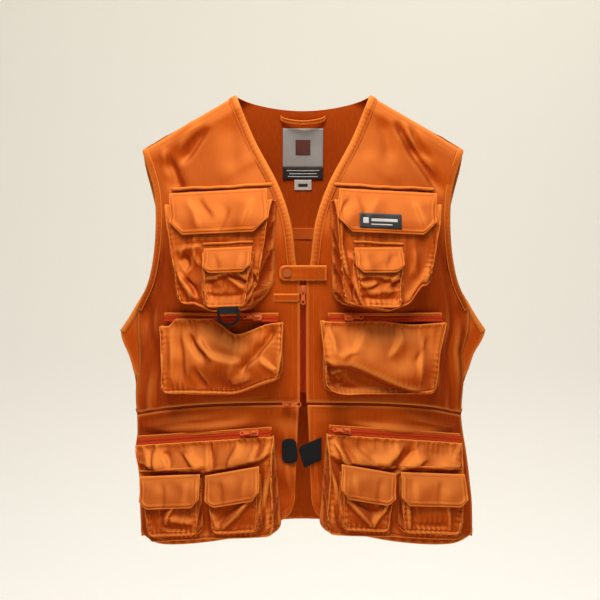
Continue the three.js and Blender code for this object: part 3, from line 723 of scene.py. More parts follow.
class Pouch:
    """A sewn pouch: a gusset all round, an edge-stitched face, and folds. Its top is open."""

    GUSSET = np.array([-1, -0.82, -0.62, -0.42, -0.22, -0.08])
    NEAR = np.array([0, 0.7, 1.5, 2.4, 3.3, 4.2, 5.6, 7.6])
    LEAN = 1.4
    USUAL = {
        "bulge": 2.0,
        "rough": 0.5,
        "pitch": 2.4,
        "sag": np.zeros_like,
        "lift": np.zeros_like,
        "splay": (0.0, 0.0),
        "flare": (0.0, 0.0),
        "fall": None,
    }

    def __init__(self, left, right, taper, top, bottom, corner, face, behind, folds, seed, **more):
        self.left, self.right, self.taper, self.top, self.bottom = left, right, taper, top, bottom
        self.corner, self.face, self.behind, self.folds, self.seed = corner, face, behind, folds, seed
        for key, value in {**self.USUAL, **more}.items():
            setattr(self, key, value)
        self.wide = right - left - 2 * self.LEAN
        self.tall = top - bottom - self.LEAN
        inside = np.arange(10.2, self.wide - 10.2, self.pitch)
        face_cols = np.concatenate([self.NEAR, inside, (self.wide - self.NEAR)[::-1]])
        self.us = np.concatenate([self.GUSSET, face_cols, self.wide - self.GUSSET[::-1]])
        rows = np.arange(10.2, self.tall - 3, self.pitch)
        self.vs = np.concatenate([self.GUSSET, self.NEAR, rows, [self.tall - 1.5, self.tall]])
        self.grid = self.build()

    def edges(self, u, v):
        """Distances from the face's side edges and bottom edge, below 0 on the gusset."""
        return np.minimum(u, self.wide - u), v

    def build(self):
        """The pouch's outer face before it is draped."""
        u, v = np.meshgrid(self.us, self.vs)
        share_u, share_v = (np.clip(1 + edge, 0, 1) for edge in self.edges(u, v))
        edge_u, edge_v = (np.maximum(edge, 0) for edge in self.edges(u, v))
        share, edge = np.minimum(share_u, share_v), np.minimum(edge_u, edge_v)
        across = np.clip(u, 0, self.wide) + self.LEAN * (np.clip(u + 1, 0, 1) + np.clip(u - self.wide, 0, 1))
        x = self.left + across
        d = np.minimum(across, self.right - self.left - across)
        arc = np.clip(1 - d / self.corner, 0, 1)
        low = self.bottom + self.corner * (1 - np.sqrt(1 - arc**2)) + self.lift(x - self.left)
        top = self.top - self.sag(x - self.left)
        z = low + self.LEAN * share_v + np.maximum(v, 0) / self.tall * (top - low - self.LEAN)
        down = (self.top - z) / (self.top - self.bottom)
        middle = (self.left + self.right) / 2
        inner, outer = self.splay
        t = across / (self.right - self.left)
        x = x + down * (self.taper[0] * (1 - t) - self.taper[1] * t)
        x = x + share * down * (inner * (1 - t) ** 1.5 - outer * t**1.5)
        inner, outer = self.flare
        x = x - share * (inner * (1 - t) ** 3 - outer * t**3)
        pinch = 2.4 * np.sin(math.pi * share) * smooth(v / 12 + 0.5)
        x = x - np.sign(x - middle) * pinch * (share_u < 1)
        puff = self.bulge * np.sin(math.pi * np.clip(u / self.wide, 0, 1)) * smooth(edge_v / 26)
        puff = puff * smooth((self.tall - v) / 30)
        ridge = 1.0 * np.exp(-(((edge - 1.0) / 1.0) ** 2)) - 0.8 * np.exp(-(((edge - 3.3) / 1.1) ** 2))
        seam = np.where(edge_u < edge_v, z, x)
        ridge = ridge + 0.85 * pucker(seam, edge - 3.3, self.seed)
        inside = smooth(edge / 12)
        wild = strokes(x - self.left, z, self.folds) * (0.35 + 0.65 * inside)
        if self.fall:
            hang, droop = self.fall(x - self.left, z)
            wild = wild + hang * (0.35 + 0.65 * inside)
            z = z - droop * inside
        wild = wild + self.rough * ripple(x, z, self.seed, 46) * inside * smooth((self.tall - v) / 12)
        out = -self.face(z) - puff - ridge * (share >= 1) - wild
        rim = self.behind(x, z) - 0.9
        y = mix(rim, np.minimum(out, rim - 2), share)
        return np.stack([x, y, z], -1)

    def drape(self, grow, cap):
        """Drapes the pouch between its rim and its mouth, and keeps it in front of the cloth behind."""
        pinned = np.minimum(*self.edges(*np.meshgrid(self.us, self.vs))) < -0.9
        pinned[-1] = True
        self.grid = drape(self.grid, pinned, grow, cap)
        rim = self.behind(self.grid[..., 0], self.grid[..., 2])
        self.grid[..., 1] = np.minimum(self.grid[..., 1], rim - 0.9)

    def flatten(self, x0, x1, z0, z1, level, soft=8.0):
        """Keeps the cloth's outer face behind local y within a rectangle, under a flap or a tape."""
        x, z = self.grid[..., 0], self.grid[..., 2]
        near = smooth((x - x0 + soft) / soft) * smooth((x1 + soft - x) / soft)
        near = near * smooth((z - z0 + soft) / soft) * smooth((z1 + soft - z) / soft)
        kept = np.maximum(self.grid[..., 1], level(z))
        self.grid[..., 1] = mix(self.grid[..., 1], kept, near)

    def front_at(self):
        """A function that gives the local y of this pouch's face at x, z."""
        faces = grid_faces(*self.grid.shape[:2]).tolist()
        tree = BVHTree.FromPolygons(self.grid.reshape(-1, 3).tolist(), faces)

        def read(x, z):
            x, z = np.broadcast_arrays(np.asarray(x, float), np.asarray(z, float))
            found = np.zeros(x.shape)
            for i in np.ndindex(x.shape):
                place = tree.ray_cast(Vector((x[i], -90, z[i])), Vector((0, 1, 0)), 200)[0]
                found[i] = place.y if place is not None else -float(self.face(z[i]))
            return found

        return read


def overhang(xs, zs, puff, recess, reach, droop):
    """Cloth that sags over a line: it swells above the line and tucks in below it."""

    def fall(x, z):
        d = z - np.interp(x, xs, zs)
        above = puff * np.exp(-((np.maximum(d, 0) / reach) ** 2))
        height = np.where(d > 0, above, mix(puff, -recess, smooth(-d / 4.5)))
        return height, droop * np.exp(-(((d - 2) / 4.5) ** 2))

    return fall


class Flap:
    """A double flap with a stitched hem and cut corners, sewn along its top edge, which is local z = 0."""

    def __init__(self, width, step, step_out, drop, cut, folds, seed, tilt=0.0, curl=1.2, drift=0.0):
        self.width, self.step_out, self.run = width, step_out, 0.85 * drop
        near = np.array([0, 0.6, 1.4, 2.3, 3.2, 4.6, 6.2, 7.4, 8.4, 9.6])
        self.us = np.concatenate([near, np.arange(12, width - 12, 2.8), (width - near)[::-1]])
        length = drop + 3
        self.vs = np.concatenate([near, np.arange(12, length - 1.5, 2.4), [length - 0.8, length]])
        u, v = np.meshgrid(self.us, self.vs)
        d = np.minimum(u, width - u)
        low = -drop + cut * np.clip(1 - d / (cut * 1.05), 0, 1)
        z = low + v / length * (0 - low)
        y = self.roll(z)
        edge = np.minimum(d, v)
        hem = 0.55 * (1 - smooth((edge - 7.2) / 1.6)) - 0.5 * np.exp(-(((edge - 2.3) / 0.8) ** 2))
        hem = hem - 0.55 * np.exp(-(((edge - 7.4) / 0.9) ** 2))
        free = smooth(-z / (step + 8))
        wild = strokes(u, z, folds) + 0.35 * ripple(u, z, seed, 40) * free
        wild = wild + curl * smooth(1 - v / 14) * free - 0.8 * curl * smooth(1 - d / 10) * free
        y = y - hem * free - wild * free
        x = u + 0.4 * np.sin(z / 7 + seed) * free - drift * smooth(-z / 34)
        turn = math.radians(tilt)
        xm = x - width / 2
        x = width / 2 + xm * math.cos(turn) - z * math.sin(turn) * 0.4
        z = z * math.cos(turn) + xm * math.sin(turn)
        self.grid = np.stack([x, y, z], -1)

    def roll(self, z):
        """Local y of the flap's outer face, which rolls out over the pocket's lip."""
        return -1.6 - (self.step_out - 0.2) * (1 - (1 - np.clip(-z / self.run, 0, 1)) ** 1.45)

    def under(self, origin):
        """The local y, by place z, that a pouch keeps behind to lie under this flap."""
        return lambda z: origin[1] + self.roll(z - origin[2]) + 2.9

    def placed(self, place, origin):
        """The flap as cloth on the part, with its top inner corner at a local origin."""
        grid = place.world(self.grid + np.asarray(origin, float))
        return Cloth(self.us, self.vs, grid, place.out())


# ---- small sewn parts ----------------------------------------------------------------------------------
def binding(name, facing, curve, inward, side, profile, gather):
    """A binding folded round an edge curve. profile holds (distance in, height) pairs."""
    share = np.linspace(0, 1, int(curve.length / 1.6))
    wave = 1 + gather * np.sin(share * curve.length * 2 * math.pi / 6.3 + 0.9 * np.sin(share * 40))
    rows = []
    for distance, height in profile:
        raised = height * wave if height > 0 else height
        rows.append(on_body(facing, *curve.beside(share, distance, inward), CLOTH + raised))
    grid = np.stack(rows, 1)
    grid[..., 0] *= side
    rings, around = grid.shape[:2]
    index = np.arange(rings * around).reshape(rings, around)
    a, b = index[:-1], index[1:]
    faces = np.stack([a, np.roll(a, -1, 1), np.roll(b, -1, 1), b], -1).reshape(-1, 4).tolist()
    faces += [index[0][::-1].tolist(), index[-1].tolist()]
    return add_object(name, grid.reshape(-1, 3), faces, ORANGE)


def binding_profile(w, rise=1.0):
    """The closed section of a binding of width w: its outer side, then its inner side."""
    outer = [(w, 0.05), (w - 0.5, 0.85), (w - 1.8, 0.55), (w - 3, 1.0)]
    outer += [(w / 2, 1.2), (1.5, 1.15), (-0.6, 0.6)]
    outer = [(distance, height * rise) for distance, height in outer]
    under = [(-1.3, -0.8), (-0.6, -2.2), (1.5, -2.6), (w - 2, -2.4)]
    under += [(w - 2, -1.7), (0.4, -1.65), (0.4, 0.02)]
    return outer + under


def coil(name, path, normals, across, width=3.4, pitch=1.9, height=1.3, half=0):
    """The coil of a zip: short rounded bars along a path, from alternate sides or from one side only."""
    steps = np.linalg.norm(np.diff(path, axis=0), axis=1)
    distance = np.concatenate([[0], np.cumsum(steps)])
    points, faces = [], []
    spots = np.arange(0.8, distance[-1] - 0.8, pitch / 2)
    for i, at in enumerate(spots[half == 1 :: 2] if half else spots):
        middle = Stitches.read(path, distance, at)
        up = Stitches.read(normals, distance, at)
        side = Stitches.read(across, distance, at) * (half or (1 if i % 2 else -1))
        along = np.cross(side, up)
        rings = []
        for reach, rise in ((-0.16, 0.55), (0.0, 1.0), (0.36, 1.0), (0.5, 0.3)):
            for a, raised in ((-0.4, False), (-0.25, True), (0.25, True), (0.4, False)):
                top = height * rise if raised else -0.3
                rings.append(middle + side * reach * width + along * a + up * top)
        add_bar(points, faces, rings)
    return add_object(name, points, faces, ZIP_TEETH)


def tape_strip(name, path, normals, across, width):
    """Woven tape under the coil, with a slightly raised woven edge on both sides."""
    shares = np.array([-0.5, -0.44, -0.38, -0.2, 0.2, 0.38, 0.44, 0.5])
    heights = np.array([0.0, 0.25, 0.0, 0.1, 0.1, 0.0, 0.25, 0.0])
    grid = path[:, None] + across[:, None] * (shares * width)[None, :, None]
    grid = grid + normals[:, None] * heights[None, :, None]
    return Cloth(shares, np.arange(len(path)), grid, normals.mean(0)).make(name, ZIP_RED, 0.9)


# ---- body panels -----------------------------------------------------------------------------------
SHOULDER_DENTS = {
    -1: [
        (139, -52, 170, -92, 7, -5.0), (150, -40, 178, -74, 8, 2.2), (192, -92, 172, -134, 9, -5.0),
        (200, -80, 188, -120, 6, 2.0),
        (104, -40, 96, -110, 14, -1.6), (60, -86, 110, -120, 10, 1.4),
    ],
    1: [
        (134, -44, 160, -84, 6, -5.0), (150, -74, 192, -132, 8, -6.0), (152, -50, 176, -90, 6, -3.4),
        (146, -50, 182, -104, 4, 2.6),
        (112, -38, 122, -90, 10, -1.8), (90, -90, 130, -124, 12, 1.4),
    ],
}
SIDE_FOLDS = [
    (204, -232, 222, -330, 10, -5.0), (222, -300, 206, -430, 9, -4.0), (214, -270, 226, -390, 6, 3.0),
    (20, -300, 24, -410, 5, 1.2), (60, -424, 150, -430, 4, -1.4), (120, -306, 190, -312, 5, -1.2),
]

SKIRT_FOLDS = {
    -1: [(205, -476, 90, -465, 6, 3.6), (222, -470, 130, -457, 5, 2.0), (24, -484, 18, -560, 5, 1.6)],
    1: [(212, -480, 80, -467, 5, 3.0), (226, -474, 150, -459, 5, 1.8), (16, -480, 20, -570, 5, 1.6)],
}


def front_relief(x, z, side):
    """How far the front's cloth stands out or in from its smooth shape."""
    h = strokes(x, z, SHOULDER_DENTS[side], 0.4) + strokes(x, z, SIDE_FOLDS, 0.2)
    quiet = smooth((-z - 20) / 60)
    h += ripple(x, z, 11 + side, 90) * 0.5 * quiet
    near_side = smooth((x - 196) / 20) * smooth((236 - x) / 12) * smooth((-z - 250) / 80)
    h += 1.5 * np.sin(x / 3.6 + z / 60 + side) * near_side
    return h * smooth((x - 12) / 20)


def seam_groove(distance, at):
    """A row of stitches draws the cloth in along a line at this distance from an edge."""
    return -0.45 * np.exp(-((distance - at) ** 2))


def front_grid(side):
    """The outer face of one front from the waist zip to the shoulder seam."""
    straight = 0.42
    v = np.concatenate([np.linspace(0, straight, 58, endpoint=False), np.linspace(straight, 1, 96)])
    u = spread(232, 3.2)
    below = v < straight
    up = np.clip((v - straight) / (1 - straight), 0, 1)
    xi, zi = NECKLINE.at(up)
    xo, zo = ARMHOLE.at(up)
    xi = np.where(below, PLACKET, xi)
    zi = np.where(below, mix(waist_line(PLACKET) + SEAM, NECK_END_Z, v / straight), zi)
    xo = np.where(below, SIDE_HALF - 1, xo)
    zo = np.where(below, mix(waist_line(SIDE_HALF) + SEAM, ARM_END_Z, v / straight), zo)
    x = mix(xi[:, None], xo[:, None], u)
    z = mix(zi[:, None], zo[:, None], u)
    z = z + (waist_line(x[:1]) + ZIP_SHOWS - z[:1]) * smooth(1 - v[:, None] / 0.3)
    h = CLOTH + front_relief(x, z, side)
    rise = z - waist_line(x) - ZIP_SHOWS
    h += seam_groove(rise, 2.2) + 0.3 * np.exp(-((rise / 1.5) ** 2))
    grid = on_body(FRONT, x, z, h)
    grid[..., 0] *= side
    return grid


def make_front(name, side):
    """One front above the waist zip, with its shoulder."""
    made = panel(f"front_cloth_{name}", front_grid(side), (0, -1, 0.2))
    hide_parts(f"shoulder_{name}", f"front_panel_{name}")
    blend_front(made)
    return made


def blend_front(made):
    """Bakes a front piece's transform into its mesh and leaves it without a body."""
    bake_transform(made)


def make_skirt_front(name, side):
    """One front below the waist zip."""
    v, u = spread(185, 3.0), spread(232, 3.2)
    xl, zl = FRONT_HEM.at(u)
    xt = mix(PLACKET + 1.5, SIDE_HALF - 1, u)
    zt = waist_line(mix(PLACKET, SIDE_HALF, u)) - ZIP_SHOWS
    x = mix(xl[None], xt[None], v[:, None])
    z = mix(zl[None], zt[None], v[:, None])
    rise = (z - zl[None]) * np.ones_like(x)
    fall = zt[None] - z
    h = CLOTH + ripple(x, z, 21 + side, 80) * 0.6 * smooth(rise / 40) * smooth(fall / 30)
    h += strokes(x, z, SKIRT_FOLDS[side], 0.3)
    h += seam_groove(rise, HEM) + seam_groove(fall, 2.2) + 0.25 * smooth((HEM - rise) / 2)
    h += 0.5 * np.sin(x / 2.4 + 3 * side) * np.exp(-(((rise - 5) / 5) ** 2))
    grid = on_body(FRONT, x, z, h)
    grid[..., 0] *= side
    made = panel(f"skirt_cloth_{name}", grid, (0, -1, 0))
    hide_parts(f"front_skirt_{name}")
    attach(made, f"front_{name}")
    return made


BACK_FOLDS = [
    (150, -96, 196, -250, 12, 3.0), (-146, -90, -200, -240, 12, 3.0), (-40, -150, -62, -390, 18, 2.6),
    (70, -180, 84, -400, 16, 2.6), (176, -300, 168, -420, 9, 2.6), (-182, -290, -170, -424, 9, 2.6),
]
SKIRT_BACK_FOLDS = [
    (-66, -450, -78, -600, 15, 2.4), (88, -450, 96, -604, 14, 2.4), (186, -456, 190, -600, 9, 2.0),
]


def meet_front(grid, share):
    """Turns the back's side edges round to meet the front at the side seam, where share is 1."""
    for edge in (0, -1):
        side = np.sign(grid[0, edge, 0])
        grid[:, edge, 0] = mix(grid[:, edge, 0], side * (SIDE_HALF + 0.4), share[:, edge])
        grid[:, edge, 1] = mix(grid[:, edge, 1], -1.8, share[:, edge])
    return grid


def back_hem(x):
    """Height of the back's hem, which rises in the middle."""
    return mix(BACK_HEM_Z, HEM_Z + 8, smooth(np.abs(x) / 200))


def make_back():
    """The back above the waist zip, in one piece with its underarm corners."""
    half = spread(SIDE_HALF, 4.2)
    u = np.concatenate([-half[::-1], half[1:]])
    v = np.concatenate([np.linspace(0, 0.8, 84, endpoint=False), 1 - 0.2 * np.linspace(1, 0, 40) ** 2])
    v = v[:, None]
    x_top, x_low = u[None] * TIP_HALF, u[None] * SIDE_HALF
    neck = -17 * (1 - np.minimum(np.abs(x_top) / NECK_HALF, 1) ** 2)
    top = np.where(np.abs(x_top) < NECK_HALF, neck, shoulder_line(x_top))
    z = mix(waist_line(x_low) + ZIP_SHOWS, top, v)
    x = mix(u[None] * back_edge(z), x_top, v**6)
    h = CLOTH + ripple(x, z, 31, 110) * 0.8 * smooth((-z - 60) / 80) * smooth((225 - np.abs(x)) / 30)
    h += strokes(x, z, BACK_FOLDS, 0.3)
    h = np.maximum(h, CLOTH - 0.4) + seam_groove(z - waist_line(x) - ZIP_SHOWS, 2.2)
    grid = meet_front(on_body(BACK, x, z, h), smooth((-z - 390) / 40))
    made = panel("back_cloth", grid, (0, 1, 0))
    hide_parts("back_panel")
    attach(made, "back")
    return made


def make_skirt_back():
    """The back below the waist zip."""
    half = spread(SIDE_HALF, 4.2)
    u = np.concatenate([-half[::-1], half[1:]])[None]
    v = spread(185, 3.4)[:, None]
    x = u * (SIDE_HALF - 1) * np.ones_like(v)
    hem = back_hem(x)
    z = mix(hem, waist_line(x) - ZIP_SHOWS, v)
    fall = waist_line(x) - ZIP_SHOWS - z
    h = CLOTH + ripple(x, z, 41, 90) * 0.9 * smooth((z - hem) / 40) * smooth(fall / 30)
    h += strokes(x, z, SKIRT_BACK_FOLDS, 0.3) * smooth(fall / 20) + seam_groove(fall, 2.2)
    h += seam_groove(z - hem, HEM) + 0.4 * np.sin(x / 2.6) * np.exp(-(((z - hem - 5) / 5) ** 2))
    made = panel("skirt_back_cloth", meet_front(on_body(BACK, x, z, h), np.ones_like(x)), (0, 1, 0))
    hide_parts("back_skirt")
    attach(made, "back")
    return made


# ---- pocket groups -----------------------------------------------------------------------------------
# Folds in each pouch's own x, z from its inner top corner: start, end, width, height.
CHEST_FOLDS = {
    -1: [
        (140, -63, 106, -59, 4.5, 4.0), (128, -70, 117, -84, 6, -5.0), (112, -66, 104, -86, 4, 3.0),
        (134, -97, 110, -128, 4.2, 6.5), (121, -103, 106, -124, 4.5, -5.5), (99, -108, 92, -147, 4, 4.0),
        (20, -70, 22, -104, 7, 3.0), (36, -96, 12, -118, 5, -4.5), (30, -128, 4, -117, 3.5, 4.5),
        (66, -134, 20, -130, 3, -2.5), (60, -48, 120, -52, 6, 2.0),
    ],
    1: [
        (2, -72, 38, -131, 5.5, 7.0), (24, -76, 44, -108, 4.5, 4.5), (18, -98, 30, -134, 5, -4.5),
        (97, -149, 146, -88, 4.6, 7.0), (120, -140, 146, -108, 7, -5.0), (118, -66, 112, -100, 6, 2.5),
        (26, -114, 50, -110, 3, 3.5), (40, -134, 92, -138, 3, -2.4), (10, -50, 20, -76, 5, -3.0),
    ],
}
PEN_FOLDS = {
    -1: [
        (38, -100, 12, -122, 3.6, 3.6), (28, -98, 8, -114, 3, -3.0), (74, -128, 4, -128, 3, -2.4),
        (70, -104, 66, -124, 3, 1.6),
    ],
    1: [
        (8, -120, 36, -112, 3.4, 4.2), (24, -126, 64, -124, 3.2, 3.0), (12, -134, 70, -134, 3, -2.4),
        (66, -98, 50, -114, 3.4, 2.4),
    ],
}
PEN_FALL = {
    -1: overhang([0, 12, 36, 52, 76], [-112, -106, -98, -103, -109], 1.5, 5.0, 9, 1.5),
    1: overhang([0, 30, 60, 76], [-106, -103, -108, -104], 1.5, 5.0, 9, 1.5),
}
MID_FOLDS = {
    -1: [
        (131, -20, 103, -49, 4.5, -6.0), (118, -22, 97, -47, 5, 5.0), (9, -12, 30, -42, 4.5, -6.0),
        (30, -42, 51, -64, 5, -5.0),
        (100, -48, 56, -58, 12, 6.0), (25, -50, 3, -66, 4, 3.0), (146, -14, 138, -70, 7, -3.0),
        (160, -20, 152, -80, 5, 2.0),
        (120, -64, 104, -88, 5, -2.6), (40, -76, 66, -84, 5, 2.6),
    ],
    1: [
        (60, -8, 36, -44, 7, 2.6), (112, -14, 92, -46, 7, 3.0), (150, -24, 128, -54, 8, -2.0),
        (6, -12, 10, -44, 5, 2.4),
        (16, -46, 40, -40, 4, 2.4), (140, -30, 132, -80, 6, 2.4), (4, -66, 22, -62, 3, 3.4),
        (8, -82, 24, -78, 3, -2.0),
    ],
}
MID_FALL = {
    -1: None,
    1: overhang([0, 30, 46, 83, 111, 138, 165], [-52, -53, -58, -75, -86, -95, -106], 6.0, 14.0, 26, 5.0),
}
CARGO_FOLDS = {
    -1: [
        (104, -38, 132, -14, 5, 5.0), (88, -40, 90, -8, 5, -4.5), (150, -30, 160, -12, 5, -4.0),
        (172, -34, 176, -8, 5, 3.5),
        (60, -34, 50, -8, 6, 3.0), (186, -10, 180, -34, 4, 3.0), (24, -26, 18, -6, 4, -3.0),
        (6, -34, 10, -126, 5, 4.0),
        (0, -60, 4, -128, 3, -3.0), (99, -60, 100, -130, 6, -3.6),
    ],
    1: [
        (6, -10, 26, -44, 4, 5.0), (16, -10, 34, -36, 3.6, -4.0), (76, -42, 108, -10, 5, 5.5),
        (94, -44, 126, -14, 4.5, -5.0),
        (100, -46, 140, -24, 4.5, 4.5), (130, -42, 196, -30, 4, 4.0), (140, -16, 180, -22, 6, -3.0),
        (40, -12, 64, -30, 5, -3.0),
        (6, -50, 8, -128, 5, 3.6), (98, -60, 100, -130, 6, -3.6),
    ],
}
CARGO_FALL = {
    -1: overhang(
        [0, 16, 64, 100, 104, 143, 175, 192], [-20, -27, -35, -39, -38, -34, -32, -23], 5.5, 1.5, 15, 2.0
    ),
    1: overhang([0, 24, 60, 92, 104, 150, 196], [-26, -35, -35, -36, -36, -33, -31], 5.0, 1.5, 15, 1.5),
}
INNER_FOLDS = {
    -1: [
        (14, -86, 60, -122, 3.8, 5.0), (24, -84, 64, -112, 4, -3.2), (76, -92, 66, -122, 4, 3.0),
        (4, -104, 12, -122, 3, -2.0),
    ],
    1: [
        (4, -82, 48, -122, 3.8, 5.0), (50, -122, 72, -88, 3.6, 4.2), (60, -104, 66, -84, 3, -3.6),
        (20, -86, 58, -104, 4.5, -3.2),
    ],
}
OUTER_FOLDS = {
    -1: [
        (36, -80, 56, -110, 3.6, 4.8), (50, -80, 66, -104, 4, -3.6), (14, -112, 54, -104, 3, 3.4),
        (20, -120, 60, -114, 3.4, -3.2),
    ],
    1: [
        (6, -80, 16, -122, 3.6, 4.0), (14, -84, 24, -110, 3.4, -3.0), (68, -84, 74, -122, 4, 2.6),
        (22, -116, 70, -117, 3, -2.0),
    ],
}
CHEST_FLAP_FOLDS = {
    -1: [
        (24, -12, 40, -56, 7, 1.8), (100, -8, 84, -40, 7, -2.0), (116, -10, 100, -50, 5, 1.8),
        (60, -26, 68, -60, 6, -1.4),
    ],
    1: [
        (14, -14, 4, -44, 6, -2.0), (112, -12, 128, -50, 6, 2.0), (58, -10, 46, -40, 8, 1.4),
        (30, -8, 40, -40, 6, -1.2),
    ],
}

# How far the sides hang out (or in, where negative) of the even shape, by height, on each side.
SIDE_HANG = {
    1: (
        [-640, -577, -530, -494, -470, -444, -406, -380, -354, -338],
        [5, 4, -1, -6, -11, -11, -7, -8, -10, 0],
    ),
    -1: (
        [-640, -588, -546, -513, -482, -457, -419, -381, -356, -338],
        [-7, -4, -4, 2, -1, 0, 3, -3, -4, 0],
    ),
}
HANG_STARTS = 165.0  # the middle of the vest hangs evenly
CORNER_Z, CORNER_REACH, CORNER_DROP = -330, 35, 8  # the underarm corners hang lower than the part's


def settle(made):
    """Moves a finished piece to the uneven hang of the sides, and lowers the underarm corners."""
    mesh = made.data
    points = np.zeros(len(mesh.vertices) * 3, np.float32)
    mesh.vertices.foreach_get("co", points)
    points = points.reshape(-1, 3).astype(float) / MM
    x, z = points[:, 0].copy(), points[:, 2].copy()
    near_side = smooth((np.abs(x) - HANG_STARTS) / (SIDE_HALF - HANG_STARTS))
    for side, (heights, moves) in SIDE_HANG.items():
        here = x * side > 0
        move = np.mean([np.interp(z[here] + d, heights, moves) for d in (-14, -7, 0, 7, 14)], axis=0)
        points[here, 0] += side * move * near_side[here]
    corner = np.exp(-(((z - CORNER_Z) / CORNER_REACH) ** 2)) * smooth((np.abs(x) - 222) / 30)
    points[:, 2] -= CORNER_DROP * corner
    mesh.vertices.foreach_set("co", (points * MM).astype(np.float32).ravel())
    mesh.update()


threads = {}


def thread(body):
    """The stitches gathered under one key: a body, or a blend_ or dark_ group on a front's upper cloth."""
    return threads.setdefault(body, Stitches())


def sew(body, cloth, *corners, scale=(1.0, 1.0)):
    """A row of stitches on a cloth, along straight runs between (u, v) corners."""
    thread(body).add(*cloth.read(route(*corners, scale=scale), THREAD_LIFT))


def lay_stitches(surface, x, z, facing, body):
    """A row of stitches laid on the outside of a surface, along a line seen from the front."""
    points = np.stack([x, np.zeros(len(x)), z], 1)
    thread(body).add(*surface.path(points, np.array([0, facing, 0.0])))


def bartack(cloth, u, v, body, length=7.0):
    """An upright bar of close stitches that holds a corner."""
    half_wide, slant, pitch = 1.1, 0.3, 0.62
    middle, n = cloth.read([(u, v)], 0.1)
    ends, _ = cloth.read([(u, v - 1), (u, v + 1)])
    along = ends[1] - ends[0]
    along /= np.linalg.norm(along)
    across = np.cross(n[0], along)
    for at in np.arange(-length / 2, length / 2, pitch):
        spot = middle[0] + along * at
        thread(body).one(spot - across * half_wide, spot + across * half_wide + along * slant, n[0])


def sewn(pouch, place, name, body, material=ORANGE):
    """The pouch as an object, with its edge stitching."""
    cloth = Cloth(pouch.us, pouch.vs, place.world(pouch.grid), place.out())
    made = cloth.make(name, material, 1.3)
    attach(made, body)
    e, top = 3.3, pouch.tall - 2.5
    sew(body, cloth, (e, top), (e, e), (pouch.wide - e, e), (pouch.wide - e, top))
    return made, cloth


def flap_piece(flap, place, origin, name, node, material=ORANGE):
    """The flap as an object, on the body named like its node, with its rows of stitches."""
    cloth = flap.placed(place, origin)
    made = cloth.make(name, material, 2.0)
    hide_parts(node)
    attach(made, node)
    w, top = flap.width, flap.vs[-1]
    for e in (2.3, 7.4):
        sew(node, cloth, (e, top - 3), (e, e), (w - e, e), (w - e, top - 3))
    sew(node, cloth, (3, top - 4.5), (w - 3, top - 4.5))
    return cloth


def pocket_zip(place, name, node, body, left, right, rise, lip):
    """Tape, coil and a fabric welt over the top of a pocket. The tape rises inwards from the lip."""
    welt = 2.6
    lean = math.hypot(rise, lip)
    up = np.array([0, lip, rise]) / lean
    out = np.array([0, -rise, lip]) / lean
    middle = np.array([0, -GAP - (lip - GAP) / 2, (rise + 0.6) / 2])
    xs = np.arange(left, right, 2.0)
    local = np.stack([xs, np.full_like(xs, middle[1]), np.full_like(xs, middle[2])], 1)
    turned = place.axes * np.array([[place.side], [1], [1]])
    path = place.world(local)
    normals = np.tile(turned @ out, (len(xs), 1))
    across = np.tile(turned @ up, (len(xs), 1))
    tape = tape_strip(f"{name}_tape", path, normals, across, lean)
    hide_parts(node)
    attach(tape, body)
    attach(coil(f"{name}_coil", path, normals, across), body)
    wavy = 0.25 * np.sin(xs / 5.0) + 0.2 * np.sin(xs / 2.3)
    rows = []
    for height, lift in ((0.0, 0.2), (0.5, 1.1), (1.6, 1.3), (3.4, 1.3), (4.6, 1.0), (5.0, 0.2)):
        z = rise - welt + height + wavy * 0.3
        y = place.behind(xs, z) - lift - 0.3 - (1.0 if height < 1 else 0.4)
        rows.append(np.stack([xs, np.minimum(y, -0.6 - lift * 0.4), z], 1))
    grid = place.world(np.stack(rows))
    strip = Cloth(xs, np.arange(len(rows)), grid, place.out())
    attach(strip.make(f"{name}_welt", ORANGE, 1.0), body)
    thread(body).add(*strip.read([(x, 3) for x in xs], THREAD_LIFT))


